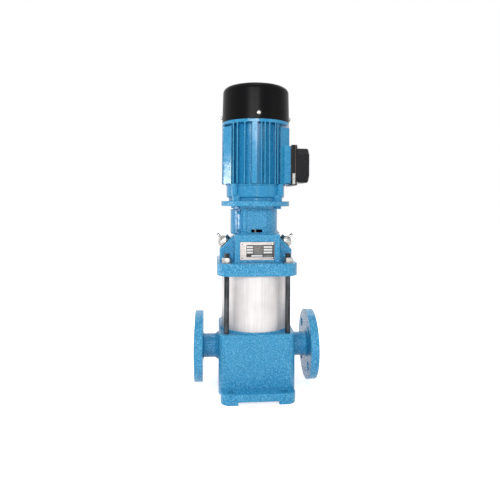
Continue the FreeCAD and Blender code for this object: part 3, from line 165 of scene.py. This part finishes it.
def bumps(tree, *layers, edge=0.0):
    """A normal from layers of height and depth in metres, laid over softened edges."""
    normal = add(tree, "ShaderNodeBevel", {"Radius": edge}, samples=4) if edge else None
    for height, depth in layers:
        inputs = {"Height": height, "Distance": depth, "Strength": 1.0}
        if normal is not None:
            inputs["Normal"] = normal
        normal = add(tree, "ShaderNodeBump", inputs)
    return normal


def enamel(name, skin, depth, swell, low, middle, high):
    """Gloss blue enamel, sprayed. Its colour varies with its fine skin: the lower shades are a random
    tone, and the palest is painted sparkle, pale flecks that stand in for glints of light on the skin.
    """
    material, tree, spot = new_material(name)
    fine = add(tree, "ShaderNodeTexNoise", {"Vector": spot, "Scale": 1 / skin, "Detail": 3.0})
    wide = add(tree, "ShaderNodeTexNoise", {"Vector": spot, "Scale": 1 / SWELL_WIDE, "Detail": 2.0})
    # The top shade is painted sparkle: pale flecks of painted highlight laid into the colour where the
    # skin's noise is highest
    colour = shades(tree, fine, (0.36, low), (0.52, middle), (0.70, high))
    gloss = add(tree, "ShaderNodeMapRange", {"Value": fine, "To Min": 0.06, "To Max": 0.24})
    close_material(tree, Base_Color=colour, Roughness=gloss, IOR=1.5, Specular_IOR_Level=0.35,
                   Normal=bumps(tree, (wide, swell), (fine, depth), edge=EDGE_WEAR))
    return material


def brushed_steel(name, code_low, code_high, roughness, stretch, depth, spacing, metallic=1.0):
    """Metal with fine parallel scratches, drawn three times as coarse as they are, to show."""
    material, tree, spot = new_material(name)
    along = add(tree, "ShaderNodeMapping", {"Vector": spot, "Scale": stretch})
    lines = add(tree, "ShaderNodeTexNoise", {"Vector": along, "Scale": 1 / spacing, "Detail": 2.0})
    cloud = add(tree, "ShaderNodeTexNoise", {"Vector": spot, "Scale": 1 / CLOUD_WIDE, "Detail": 2.0})
    blend = add(tree, "ShaderNodeMix", {2: lines, 3: cloud})
    colour = shades(tree, blend, (0.42, code_low), (0.58, code_high))
    sheen = add(tree, "ShaderNodeMapRange",
                {"Value": lines, "To Min": roughness - 0.06, "To Max": roughness + 0.08})
    close_material(tree, Base_Color=colour, Metallic=metallic, Roughness=sheen,
                   Normal=bumps(tree, (lines, depth)))
    return material


def cloudy(name, code_low, code_high, size, depth, roughness, **inputs):
    """A moulded, cast or plated finish: two near shades and a fine skin."""
    material, tree, spot = new_material(name)
    skin = add(tree, "ShaderNodeTexNoise", {"Vector": spot, "Scale": 1 / size, "Detail": 3.0})
    colour = shades(tree, skin, (0.3, code_low), (0.7, code_high))
    sheen = add(tree, "ShaderNodeMapRange",
                {"Value": skin, "To Min": roughness - 0.05, "To Max": roughness + 0.07})
    close_material(tree, Base_Color=colour, Roughness=sheen,
                   Normal=bumps(tree, (skin, depth), edge=EDGE_WEAR / 2), **inputs)
    return material


# Scratches that run round Z, along it or along X, as shares of a grain that is long one way
ROUND = (1, 1, 60)
UPRIGHT = (60, 60, 1)
ACROSS = (1, 60, 60)

# Enamel on sand-cast iron: an orange skin that breaks every highlight into sparkle, and its palest
# shade adds painted sparkle in the colour. The real skin is about 1 mm across and is drawn twice as
# coarse, so that it shows
cast_enamel = enamel("blue_enamel_on_sand_cast_iron", 2.4 * MM, 1.5 * MM, 1.6 * MM,
                     "1B7EAE", "3196C6", "68BADF")
# Enamel on die-cast aluminium: the same paint over a tighter, flatter skin, with its palest shade again
# painted sparkle
motor_enamel = enamel("blue_enamel_on_die_cast_aluminium", 3 * MM, 0.16 * MM, 0.8 * MM,
                      "2485B4", "2A8EBE", "45A0CB")
# Enamel on folded sheet steel and on screws: almost flat, with the flow of the paint alone, and a faint
# painted sparkle in its palest shade
sheet_enamel = enamel("blue_enamel_on_sheet_steel", 5 * MM, 0.2 * MM, 0.6 * MM,
                      "2080B2", "2487BA", "3A97C8")
# Stainless sleeve, rolled and brushed along its length, satin
sleeve_steel = brushed_steel("brushed_stainless_sleeve", "CCC7C7", "DBD7D6", 0.54, UPRIGHT,
                             0.004 * MM, 80 * MM, metallic=0.7)
# Plain turned steel, darkened by oil
dark_steel = brushed_steel("oiled_turned_steel", "2C2E31", "54575A", 0.38, UPRIGHT,
                           0.01 * MM, 60 * MM)
# Stainless pressings inside the pump
pressed_steel = cloudy("pressed_stainless", "B8B6B2", "D2D0CC", 5 * MM, 0.02 * MM, 0.3,
                       Metallic=1.0)
# Zinc plating, chromated: silver with a faint warm and cold cloud
zinc = cloudy("chromated_zinc_plating", "9C9993", "B5B5B4", 3 * MM, 0.03 * MM, 0.24,
              Metallic=1.0)
# Rolled aluminium plate, brushed along its length
plate = brushed_steel("brushed_aluminium_plate", "95908D", "B3AFAD", 0.34, ACROSS,
                      0.004 * MM, 66 * MM)
# Satin black powder coat on the pressed cover: nearly flat under a soft sheen
powder_coat = cloudy("satin_black_powder_coat", "060608", "0C0C0E", 3 * MM, 0.03 * MM, 0.29,
                     Specular_IOR_Level=0.08)
# Moulded black polyamide, faintly grained
black_plastic = cloudy("moulded_black_polyamide", "111113", "1D1D20", 3 * MM, 0.3 * MM, 0.28,
                       Specular_IOR_Level=0.14)
# White lacquer on the plate's blank fields
plate_lacquer = cloudy("white_lacquer", "DCDAD8", "EFEEEC", 2 * MM, 0.01 * MM, 0.4)
# Printing ink on the plate, matt
plate_ink = cloudy("matt_printing_ink", "39342F", "57514B", 1.5 * MM, 0.01 * MM, 0.6,
                   Specular_IOR_Level=0.3)
# Moulded rubber
rubber = cloudy("moulded_rubber", "3D2F26", "57463A", 1.5 * MM, 0.05 * MM, 0.6)
# Pressed fibre
fibre = cloudy("pressed_fibre", "5A4B3A", "75644F", 0.8 * MM, 0.05 * MM, 0.7)
# Turned brass
brass = cloudy("turned_brass", "B08A3E", "D2B065", 2 * MM, 0.01 * MM, 0.25, Metallic=1.0)
# Enamelled copper wire
copper = cloudy("enamelled_copper_wire", "8A4A26", "B06A3C", 1 * MM, 0.08 * MM, 0.35,
                Metallic=1.0)
# Stacked electrical sheets, seen on edge
lamination = brushed_steel("stacked_sheet_steel", "55565A", "77787B", 0.4, ROUND,
                           0.05 * MM, 30 * MM)
# Ground bearing steel
bearing_steel = cloudy("ground_bearing_steel", "C4C5C6", "DCDDDD", 6 * MM, 0.005 * MM, 0.12,
                       Metallic=1.0)
# Pressed carbon
carbon = cloudy("pressed_carbon", "17171A", "232326", 1 * MM, 0.01 * MM, 0.3)
# Machined cast iron, open grained
machined_iron = cloudy("machined_cast_iron", "4A4B4E", "63656A", 1.2 * MM, 0.03 * MM, 0.42,
                       Metallic=1.0)

FINISHES = {
    cast_enamel: ("base_casting", "pump_head"),
    motor_enamel: ("motor_frame", "lower_end_shield", "upper_end_shield"),
    sheet_enamel: ("coupling_guard", "guard_screws", "motor_flange_bolts"),
    sleeve_steel: ("outer_sleeve",),
    dark_steel: ("tie_rods", "motor_shaft", "coupling_screws"),
    pressed_steel: ("chamber_1", "chamber_2", "chamber_3", "chamber_4",
                    "impeller_1", "impeller_2", "impeller_3", "impeller_4",
                    "impeller_spacers", "pump_shaft", "suction_ring", "discharge_bowl",
                    "seal_collar"),
    zinc: ("tie_rod_nuts", "tie_rod_washers", "vent_plug_left", "vent_plug_right",
           "vent_spindle_left", "vent_spindle_right", "vent_handle_left", "vent_handle_right",
           "fan_cover_screws", "terminal_screws", "nameplate_rivets", "drain_plug"),
    plate: ("nameplate",),
    powder_coat: ("fan_cover",),
    black_plastic: ("terminal_base", "terminal_cover", "cable_gland", "fan", "terminal_board"),
    rubber: ("sleeve_seals", "terminal_gasket", "seal_bellows"),
    fibre: ("plug_washers",),
    brass: ("terminal_studs",),
    copper: ("stator_windings",),
    lamination: ("stator_core", "rotor_core"),
    bearing_steel: ("bearing_outer_rings", "bearing_inner_rings", "bearing_balls"),
    carbon: ("shaft_bushes", "seal_ring", "seal_seat"),
    machined_iron: ("coupling_front", "coupling_back"),
}
for finish, names in FINISHES.items():
    for name in names:
        nodes[name].data.materials.clear()
        nodes[name].data.materials.append(finish)


# Fasteners and threads, made by Geometry Nodes round the CAD solids

Head = namedtuple("Head", "seat axis side height radius shank_long shank_radius")

UP, DOWN = Vector((0, 0, 1)), Vector((0, 0, -1))
FRONT, BACK = Vector((0, -1, 0)), Vector((0, 1, 0))
BOX_SIDE = Vector((1, 0, 0))


def group_middle(points):
    """The middle of the box round some points."""
    return Vector([(min(p[i] for p in points) + max(p[i] for p in points)) / 2 for i in range(3)])


def solids(node):
    """The corner points of each separate solid of a CAD node."""
    mesh = bmesh.new()
    mesh.from_mesh(nodes[node].data)
    bmesh.ops.remove_doubles(mesh, verts=mesh.verts, dist=SAME_POINT)
    waiting, groups = set(mesh.verts), []
    while waiting:
        front, island = [waiting.pop()], []
        while front:
            corner = front.pop()
            island.append(corner.co.copy())
            for edge in corner.link_edges:
                other = edge.other_vert(corner)
                if other in waiting:
                    waiting.remove(other)
                    front.append(other)
        groups.append(island)
    mesh.free()
    return sorted(groups, key=lambda group: tuple(round(value, 5) for value in group_middle(group)))


def heads(node, way=None):
    """The head of each screw of a node, which points one way or else away from the shaft."""
    found = []
    for points in solids(node):
        centre = group_middle(points)
        axis = Vector((centre.x, centre.y, 0)).normalized() if way is None else way
        across = axis.orthogonal().normalized()
        beside = axis.cross(across)
        middle = sum((turn * (min(p.dot(turn) for p in points) + max(p.dot(turn) for p in points)) / 2
                      for turn in (across, beside)), Vector())
        arms = [(p - middle) - axis * p.dot(axis) for p in points]
        reach = max(arm.length for arm in arms)
        rim = [(p.dot(axis), arm) for p, arm in zip(points, arms) if arm.length > NEARLY_ALL * reach]
        low, high = min(level for level, arm in rim), max(level for level, arm in rim)
        shank = [arm.length for p, arm in zip(points, arms) if p.dot(axis) < low - SAME_LEVEL]
        found.append(Head(middle + axis * low, axis, rim[0][1].normalized(), high - low, reach,
                          low - min(p.dot(axis) for p in points), max(shank, default=0.0)))
    return found


def tops(found):
    """The places on the flat tops of heads, a hair inside them."""
    return [(head.seat + head.axis * (head.height - DOME_SUNK), head.axis, head.side) for head in found]


def stand(name, data):
    """A new object in the scene."""
    item = bpy.data.objects.new(name, data)
    bpy.context.scene.collection.objects.link(item)
    return item


def grow(name, tree, spots, finish, sizes, replaced=()):
    """Runs a tree on spots, each a place, an axis and a side, and keeps the mesh that it makes."""
    mesh = bpy.data.meshes.new(name + "_spots")
    mesh.from_pydata([spot[0] for spot in spots], [], [])
    for index, word in ((1, "axis"), (2, "side")):
        ways = mesh.attributes.new(word, "FLOAT_VECTOR", "POINT")
        ways.data.foreach_set("vector", [value for spot in spots for value in spot[index]])
    seed = stand(name + "_seed", mesh)
    modifier = seed.modifiers.new(name, "NODES")
    modifier.node_group = tree
    values = {**sizes, "Material": finish}
    for item in tree.interface.items_tree:
        if item.in_out == "INPUT" and item.name in values:
            modifier[item.identifier] = values[item.name]
    seen = seed.evaluated_get(bpy.context.evaluated_depsgraph_get())
    piece = bpy.data.objects.new(name, bpy.data.meshes.new_from_object(seen))
    bpy.data.objects.remove(seed)
    bpy.context.scene.collection.objects.link(piece)
    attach(piece, "root")
    if replaced:
        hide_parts(*replaced)


def new_tree(name, *sizes):
    """A Geometry Nodes tree with a geometry, named sizes and a material as inputs."""
    tree = bpy.data.node_groups.new(name, "GeometryNodeTree")
    tree.interface.new_socket("Geometry", in_out="INPUT", socket_type="NodeSocketGeometry")
    for word in sizes:
        kind = "NodeSocketInt" if word.startswith("Number") else "NodeSocketFloat"
        tree.interface.new_socket(word, in_out="INPUT", socket_type=kind)
    tree.interface.new_socket("Material", in_out="INPUT", socket_type="NodeSocketMaterial")
    tree.interface.new_socket("Geometry", in_out="OUTPUT", socket_type="NodeSocketGeometry")
    return tree, add(tree, "NodeGroupInput").outputs


def close_tree(tree, given, shape):
    """Sets the shape on each spot along its axis and side, makes it real and gives its material."""
    axis, side = [add(tree, "GeometryNodeInputNamedAttribute", {"Name": word},
                      data_type="FLOAT_VECTOR").outputs["Attribute"] for word in ("axis", "side")]
    turned = add(tree, "FunctionNodeAxesToRotation", {0: axis, 1: side},
                 primary_axis="Z", secondary_axis="X")
    spread = add(tree, "GeometryNodeInstanceOnPoints",
                 {"Points": given["Geometry"], "Instance": shape, "Rotation": turned})
    real = add(tree, "GeometryNodeRealizeInstances", {"Geometry": spread})
    dressed = add(tree, "GeometryNodeSetMaterial", {"Geometry": real, "Material": given["Material"]})
    add(tree, "NodeGroupOutput", {"Geometry": dressed})
    return tree


def moved(tree, shape, z):
    """A shape moved along Z."""
    way = add(tree, "ShaderNodeCombineXYZ", {"Z": z})
    return add(tree, "GeometryNodeTransform", {"Geometry": shape, "Translation": way})


def flat_ball(tree, radius, rise, segments):
    """A ball that is pressed flat until it rises only so far."""
    ball = add(tree, "GeometryNodeMeshUVSphere",
               {"Segments": segments, "Rings": segments // 2, "Radius": radius})
    flat = add(tree, "ShaderNodeMath", {0: rise, 1: radius}, operation="DIVIDE")
    scale = add(tree, "ShaderNodeCombineXYZ", {"X": 1, "Y": 1, "Z": flat})
    return add(tree, "GeometryNodeTransform", {"Geometry": ball, "Scale": scale})


def hexagon(tree, radius, height):
    """A hexagon on its seat with the corners of both ends turned off."""
    prism = add(tree, "GeometryNodeMeshCylinder", {"Vertices": 6, "Radius": radius, "Depth": height})
    narrow = add(tree, "ShaderNodeMath", {0: radius, 1: HEXAGON_FLAT}, operation="MULTIPLY")
    slope = add(tree, "ShaderNodeMath", {0: height, 1: HEXAGON_SLOPE}, operation="MULTIPLY")
    wide = add(tree, "ShaderNodeMath", {0: narrow, 1: slope}, operation="ADD")
    low, high = [add(tree, "ShaderNodeMath", {0: height, 1: share}, operation="MULTIPLY")
                 for share in (-0.5, 0.5)]
    cones = [add(tree, "GeometryNodeMeshCone", {"Vertices": 48, "Radius Top": top,
                                                "Radius Bottom": bottom, "Depth": height})
             for top, bottom in ((narrow, wide), (wide, narrow))]
    solid = add(tree, "GeometryNodeMeshBoolean",
                {1: [prism] + [moved(tree, cone, low) for cone in cones]},
                operation="INTERSECT", solver="EXACT")
    return moved(tree, solid, high)


def nut_tree():
    """A chamfered hexagon nut with its bore."""
    tree, given = new_tree("hexagon_nut", "Radius", "Height", "Bore")
    deep = add(tree, "ShaderNodeMath", {0: given["Height"], 1: 3}, operation="MULTIPLY")
    bore = add(tree, "GeometryNodeMeshCylinder",
               {"Vertices": ROUND_CORNERS, "Radius": given["Bore"], "Depth": deep})
    nut = add(tree, "GeometryNodeMeshBoolean",
              {0: hexagon(tree, given["Radius"], given["Height"]), 1: bore},
              operation="DIFFERENCE", solver="EXACT")
    return close_tree(tree, given, nut)


def bolt_tree():
    """A chamfered hexagon head on its shank."""
    tree, given = new_tree("hexagon_bolt", "Radius", "Height", "Shank", "Length")
    shank = add(tree, "GeometryNodeMeshCylinder",
                {"Vertices": ROUND_CORNERS, "Radius": given["Shank"], "Depth": given["Length"]})
    low = add(tree, "ShaderNodeMath", {0: given["Length"], 1: -0.5}, operation="MULTIPLY")
    head = hexagon(tree, given["Radius"], given["Height"])
    whole = add(tree, "GeometryNodeJoinGeometry", {0: [head, moved(tree, shank, low)]})
    return close_tree(tree, given, whole)


def dome_tree():
    """The domed top of a screw with a cross recess, set on the flat head of the solid."""
    tree, given = new_tree("domed_head", "Radius", "Rise", "Recess")
    ball = flat_ball(tree, given["Radius"], given["Rise"], 40)
    broad, long, wide = [add(tree, "ShaderNodeMath", {0: given["Radius"], 1: share},
                             operation="MULTIPLY")
                         for share in (DOME_ROOM, RECESS_LONG, 2 * RECESS_WIDE)]
    half = add(tree, "ShaderNodeMath", {0: given["Rise"], 1: 0.5}, operation="MULTIPLY")
    room = add(tree, "GeometryNodeMeshCylinder",
               {"Vertices": 8, "Radius": broad, "Depth": given["Rise"]})
    dome = add(tree, "GeometryNodeMeshBoolean", {1: [ball, moved(tree, room, half)]},
               operation="INTERSECT", solver="EXACT")
    arms = []
    for x, y in ((long, wide), (wide, long)):
        size = add(tree, "ShaderNodeCombineXYZ", {"X": x, "Y": y, "Z": given["Recess"]})
        arm = add(tree, "GeometryNodeMeshCube", {"Size": size})
        arms.append(moved(tree, arm, given["Rise"]))
    crossed = add(tree, "GeometryNodeMeshBoolean", {0: dome, 1: arms},
                  operation="DIFFERENCE", solver="EXACT")
    return close_tree(tree, given, crossed)


def button_tree():
    """A rivet's round button."""
    tree, given = new_tree("rivet_button", "Radius", "Rise")
    return close_tree(tree, given, flat_ball(tree, given["Radius"], given["Rise"], 24))


def thread_tree():
    """A screw thread: a ridge that winds up round the axis from the spot."""
    tree, given = new_tree("screw_thread", "Radius", "Pitch", "Length", "Proud")
    turns = add(tree, "ShaderNodeMath", {0: given["Length"], 1: given["Pitch"]}, operation="DIVIDE")
    line = add(tree, "GeometryNodeCurveSpiral",
               {"Resolution": 28, "Rotations": turns, "Start Radius": given["Radius"],
                "End Radius": given["Radius"], "Height": given["Length"]})
    ridge = add(tree, "GeometryNodeCurvePrimitiveCircle", {"Resolution": 4, "Radius": given["Proud"]})
    body = add(tree, "GeometryNodeCurveToMesh",
               {"Curve": line, "Profile Curve": ridge, "Fill Caps": True})
    return close_tree(tree, given, body)


def rib_tree():
    """Grip ribs that stand round a turned piece, along its axis from the spot."""
    tree, given = new_tree("grip_ribs", "Number", "Radius", "Length", "Wide")
    circle = add(tree, "GeometryNodeMeshCircle",
                 {"Vertices": given["Number"], "Radius": given["Radius"]})
    radius, half = [add(tree, "ShaderNodeMath", {0: given[word], 1: 0.5}, operation="MULTIPLY")
                    for word in ("Wide", "Length")]
    rib = add(tree, "GeometryNodeMeshCylinder",
              {"Vertices": 10, "Radius": radius, "Depth": given["Length"]})
    ring = add(tree, "GeometryNodeInstanceOnPoints",
               {"Points": circle, "Instance": moved(tree, rib, half)})
    real = add(tree, "GeometryNodeRealizeInstances", {"Geometry": ring})
    return close_tree(tree, given, real)


def field_tree():
    """Rows and columns of flat fields round the spot; the axis points out of the plate."""
    tree, given = new_tree("plate_fields", "Number Across", "Number Up", "Pitch Across", "Pitch Up",
                           "Wide", "Tall", "Thick")
    steps = [add(tree, "ShaderNodeMath", {0: given[word], 1: 1}, operation="SUBTRACT")
             for word in ("Number Across", "Number Up")]
    spans = [add(tree, "ShaderNodeMath", {0: step, 1: given[word]}, operation="MULTIPLY")
             for step, word in zip(steps, ("Pitch Across", "Pitch Up"))]
    grid = add(tree, "GeometryNodeMeshGrid",
               {"Size X": spans[0], "Size Y": spans[1], "Vertices X": given["Number Across"],
                "Vertices Y": given["Number Up"]})
    size = add(tree, "ShaderNodeCombineXYZ",
               {"X": given["Wide"], "Y": given["Tall"], "Z": given["Thick"]})
    field = add(tree, "GeometryNodeMeshCube", {"Size": size})
    laid = add(tree, "GeometryNodeInstanceOnPoints", {"Points": grid, "Instance": field})
    real = add(tree, "GeometryNodeRealizeInstances", {"Geometry": laid})
    return close_tree(tree, given, real)


def set_fasteners():
    """Nuts, bolts, screw domes and rivets on the places of the CAD heads."""
    nut, bolt, dome, button = nut_tree(), bolt_tree(), dome_tree(), button_tree()
    rod, found = heads("tie_rods", UP)[0], heads("tie_rod_nuts", UP)
    grow("chamfered_rod_nuts", nut, found, zinc,
         {"Radius": found[0].radius, "Height": found[0].height, "Bore": rod.radius},
         replaced=["tie_rod_nuts"])
    for name, node, way, finish, slot in (
            ("chamfered_flange_bolts", "motor_flange_bolts", DOWN, sheet_enamel, "painted_screws"),
            ("chamfered_drain_plug", "drain_plug", BACK, zinc, "plated_steel")):
        found = heads(node, way)
        grow(name, bolt, found, finish,
             {"Radius": found[0].radius, "Height": found[0].height, "Shank": found[0].shank_radius,
              "Length": found[0].shank_long}, replaced=[node])
    for name, node, way, finish, slot in (
            ("guard_screw_domes", "guard_screws", None, sheet_enamel, "painted_screws"),
            ("fan_cover_screw_domes", "fan_cover_screws", None, zinc, "plated_steel"),
            ("terminal_screw_domes", "terminal_screws", BOX_SIDE, zinc, "plated_steel")):
        # The earth clip among the box screws has no shank, and gets no dome
        found = [head for head in heads(node, way) if head.shank_long > head.radius]
        grow(name, dome, tops(found), finish,
             {"Radius": found[0].radius, "Rise": DOME_RISE, "Recess": DOME_RISE * RECESS_DEEP})
    found = heads("nameplate_rivets", FRONT)
    grow("rivet_buttons", button, tops(found), zinc,
         {"Radius": found[0].radius, "Rise": DOME_RISE / 2})


def set_threads():
    """The thread on each rod's upper end."""
    ends = heads("tie_rods", UP)
    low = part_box("tie_rod_nuts")[1][2]
    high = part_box("tie_rods")[1][2]
    spots = [(Vector((end.seat.x, end.seat.y, low + THREAD_PITCH / 2)), end.axis, end.side)
             for end in ends]
    grow("rod_threads", thread_tree(), spots, dark_steel,
         {"Radius": ends[0].radius, "Pitch": THREAD_PITCH, "Length": high - low - THREAD_PITCH,
          "Proud": THREAD_PROUD})


def set_gland_ribs():
    """Grip ribs round the cap of the cable gland."""
    low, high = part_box("cable_gland")
    middle = Vector(((low[0] + high[0]) / 2, high[1] - GLAND_CAP, (low[2] + high[2]) / 2))
    grow("gland_ribs", rib_tree(), [(middle, (0, 1, 0), (1, 0, 0))], black_plastic,
         {"Number": GLAND_RIBS, "Radius": GLAND_RADIUS, "Length": GLAND_CAP - GLAND_RIB_SHORT,
          "Wide": GLAND_RIB_WIDE})


# Blank fields on the plate in millimetres from its top left corner: a dark ground with bare cells
# left free and no lettering. Left, right, top, bottom, fields across and up, share of the pitch that
# each fills, and layers of ink
PLATE_FIELDS = (
    ("ink_ground", plate_ink, 12.0, 64.5, 5.5, 29.5, 1, 1, 1.0, 2),
    ("ink_edge", plate_ink, 64.5, 66.4, 4.0, 33.0, 1, 1, 1.0, 2),
    ("left_cells", plate_lacquer, 12.8, 25.5, 7.0, 23.0, 1, 3, 0.68, 4),
    ("middle_cells", plate_lacquer, 27.0, 44.0, 6.5, 24.0, 9, 8, 0.5, 4),
    ("right_cells", plate_lacquer, 46.0, 63.0, 7.0, 23.0, 1, 3, 0.68, 4),
    ("lower_cell", plate_lacquer, 22.0, 44.0, 25.0, 28.6, 1, 1, 0.9, 4),
    ("corner_cells", plate_lacquer, 46.0, 63.5, 25.0, 28.8, 8, 2, 0.5, 4),
)


def set_plate_fields():
    """Blank printed fields on the nameplate."""
    low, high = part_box("nameplate")
    fields = field_tree()
    for name, finish, left, right, top, bottom, across, rows, share, layers in PLATE_FIELDS:
        spot = Vector((low[0] + (left + right) / 2 * MM, low[1], high[2] - (top + bottom) / 2 * MM))
        pitch_x, pitch_y = (right - left) / across, (bottom - top) / rows
        wide = pitch_x * share if across > 1 else pitch_x
        grow(name, fields, [(spot, (0, -1, 0), (1, 0, 0))], finish,
             {"Number Across": across, "Number Up": rows, "Pitch Across": pitch_x * MM,
              "Pitch Up": pitch_y * MM, "Wide": wide * MM, "Tall": pitch_y * share * MM,
              "Thick": layers * INK_THICK})


def set_cover_roof():
    """The roof of the terminal box cover, which its solid lacks: a plate bent down over both
    shoulders, and the strip of the rim above it."""
    low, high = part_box("terminal_cover")
    wall, shoulder = COVER_WALL, COVER_SHOULDER
    bend = wall * math.tan(math.pi / 8)
    rear, front = low[0], high[0] - wall
    rim = [vertex.co for vertex in nodes["terminal_cover"].data.vertices
           if abs(vertex.co.x - front) < SAME_LEVEL]
    side, top = max(point.y for point in rim), max(point.z for point in rim)
    plate_half = [(side - wall, top - shoulder - bend), (side - wall, top - shoulder + wall),
                  (side - shoulder, top)]
    plate_under = [(shoulder + bend - side, top - wall), (side - shoulder - bend, top - wall)]
    rim_half = [(side - shoulder, top), (side - shoulder - wall, top + wall)]
    shape = bmesh.new()
    for half, under, end in ((plate_half, plate_under, front), (rim_half, [], rear + wall)):
        outline = half + [(-y, z) for y, z in reversed(half)] + under
        rings = [[shape.verts.new((x, y, z)) for y, z in outline] for x in (rear, end)]
        for ring in rings:
            shape.faces.new(ring)
        for start, here in enumerate(rings[0]):
            after = (start + 1) % len(outline)
            shape.faces.new((here, rings[0][after], rings[1][after], rings[1][start]))
    bmesh.ops.recalc_face_normals(shape, faces=shape.faces)
    mesh = bpy.data.meshes.new("terminal_cover_roof")
    shape.to_mesh(mesh)
    shape.free()
    mesh.materials.append(black_plastic)
    roof = stand("terminal_cover_roof", mesh)
    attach(roof, "root")


set_fasteners()
set_cover_roof()
set_threads()
set_gland_ribs()
set_plate_fields()


# The stage: a pale floor under a white surround

# Soft lamps that no camera sees: place, aim, width, height and power
LAMPS = (
    ("key", (-0.02, -1.75, 0.88), (0, 0, 0.45), 0.3, 0.36, 6),
    ("left_front", (-0.56, -1.66, 0.9), (0, 0, 0.4), 0.6, 0.3, 8),
    ("low_front", (0.05, -1.7, 0.27), (0, 0, 0.2), 0.14, 0.14, 1.7),
    ("left_side", (-1.29, 0.185, 0.385), (0, 0, 0.40), 0.28, 0.28, 5),
    ("right_side", (1.3, -0.9, 0.7), (0, 0, 0.35), 0.5, 0.5, 0.8),
    ("overhead", (0, -0.3, 2.0), (0, 0, 0.3), 0.6, 0.6, 4),
    ("back", (0.3, 1.6, 1.2), (0, 0, 0.3), 0.9, 0.9, 8),
)


def bright_for_gloss(tree):
    """1 for the rays that look at the surround directly, in gloss or through glass."""
    path = add(tree, "ShaderNodeLightPath").outputs
    seen = add(tree, "ShaderNodeMath", {0: path["Is Camera Ray"], 1: path["Is Glossy Ray"]},
               operation="MAXIMUM")
    return add(tree, "ShaderNodeMath", {0: seen, 1: path["Is Transmission Ray"]},
               operation="MAXIMUM")


def make_floor():
    """A pale floor that keeps the shadow and glows white where it is looked at."""
    mesh = bpy.data.meshes.new("floor")
    mesh.from_pydata([(x * FLOOR_HALF, y * FLOOR_HALF, 0)
                      for x, y in ((-1, -1), (1, -1), (1, 1), (-1, 1))], [], [(0, 1, 2, 3)])
    floor = stand("floor", mesh)
    material = bpy.data.materials.new("pale_floor")
    tree = emptied(material)
    matte = add(tree, "ShaderNodeBsdfDiffuse", {"Color": hue("F4F4F4")})
    strength = add(tree, "ShaderNodeMath", {0: bright_for_gloss(tree), 1: FLOOR_SEEN},
                   operation="MULTIPLY")
    glow = add(tree, "ShaderNodeEmission", {"Color": hue("FFFFFF"), "Strength": strength})
    both = add(tree, "ShaderNodeAddShader", {0: matte, 1: glow})
    add(tree, "ShaderNodeOutputMaterial", {"Surface": both})
    mesh.materials.append(material)


def make_surround():
    """A plain light from all sides that looks white."""
    world = bpy.data.worlds.new("white_surround")
    tree = emptied(world)
    strength = add(tree, "ShaderNodeMapRange", {"Value": bright_for_gloss(tree),
                                                "To Min": SURROUND_LIGHT, "To Max": SURROUND_SEEN})
    sky = add(tree, "ShaderNodeBackground", {"Color": hue("FFFFFF"), "Strength": strength})
    add(tree, "ShaderNodeOutputWorld", {"Surface": sky})
    bpy.context.scene.world = world


def make_lamps():
    """The soft lamps."""
    for name, place, aim, wide, tall, watts in LAMPS:
        light = bpy.data.lights.new(name, "AREA")
        light.shape = "RECTANGLE"
        light.size, light.size_y, light.energy = wide, tall, watts
        item = stand(name, light)
        item.location = place
        item.rotation_euler = (Vector(aim) - Vector(place)).to_track_quat("-Z", "Y").to_euler()
        item.visible_camera = False


def make_camera():
    """The photograph's camera."""
    data = bpy.data.cameras.new("camera")
    data.sensor_width = SENSOR
    data.lens = SENSOR * FOCAL_PIXELS / PHOTO_SIDE
    data.shift_x = (PHOTO_SIDE / 2 - AXIS_COLUMN) / PHOTO_SIDE
    data.shift_y = (HORIZON_ROW - PHOTO_SIDE / 2) / PHOTO_SIDE
    camera = stand("camera", data)
    camera.location = (CAMERA_DISTANCE * math.sin(CAMERA_AZIMUTH),
                       -CAMERA_DISTANCE * math.cos(CAMERA_AZIMUTH), CAMERA_HEIGHT)
    camera.rotation_euler = (math.pi / 2, CAMERA_ROLL, CAMERA_AZIMUTH)
    bpy.context.scene.camera = camera


make_floor()
make_surround()
make_camera()
make_lamps()
bpy.context.scene.view_settings.view_transform = "Standard"
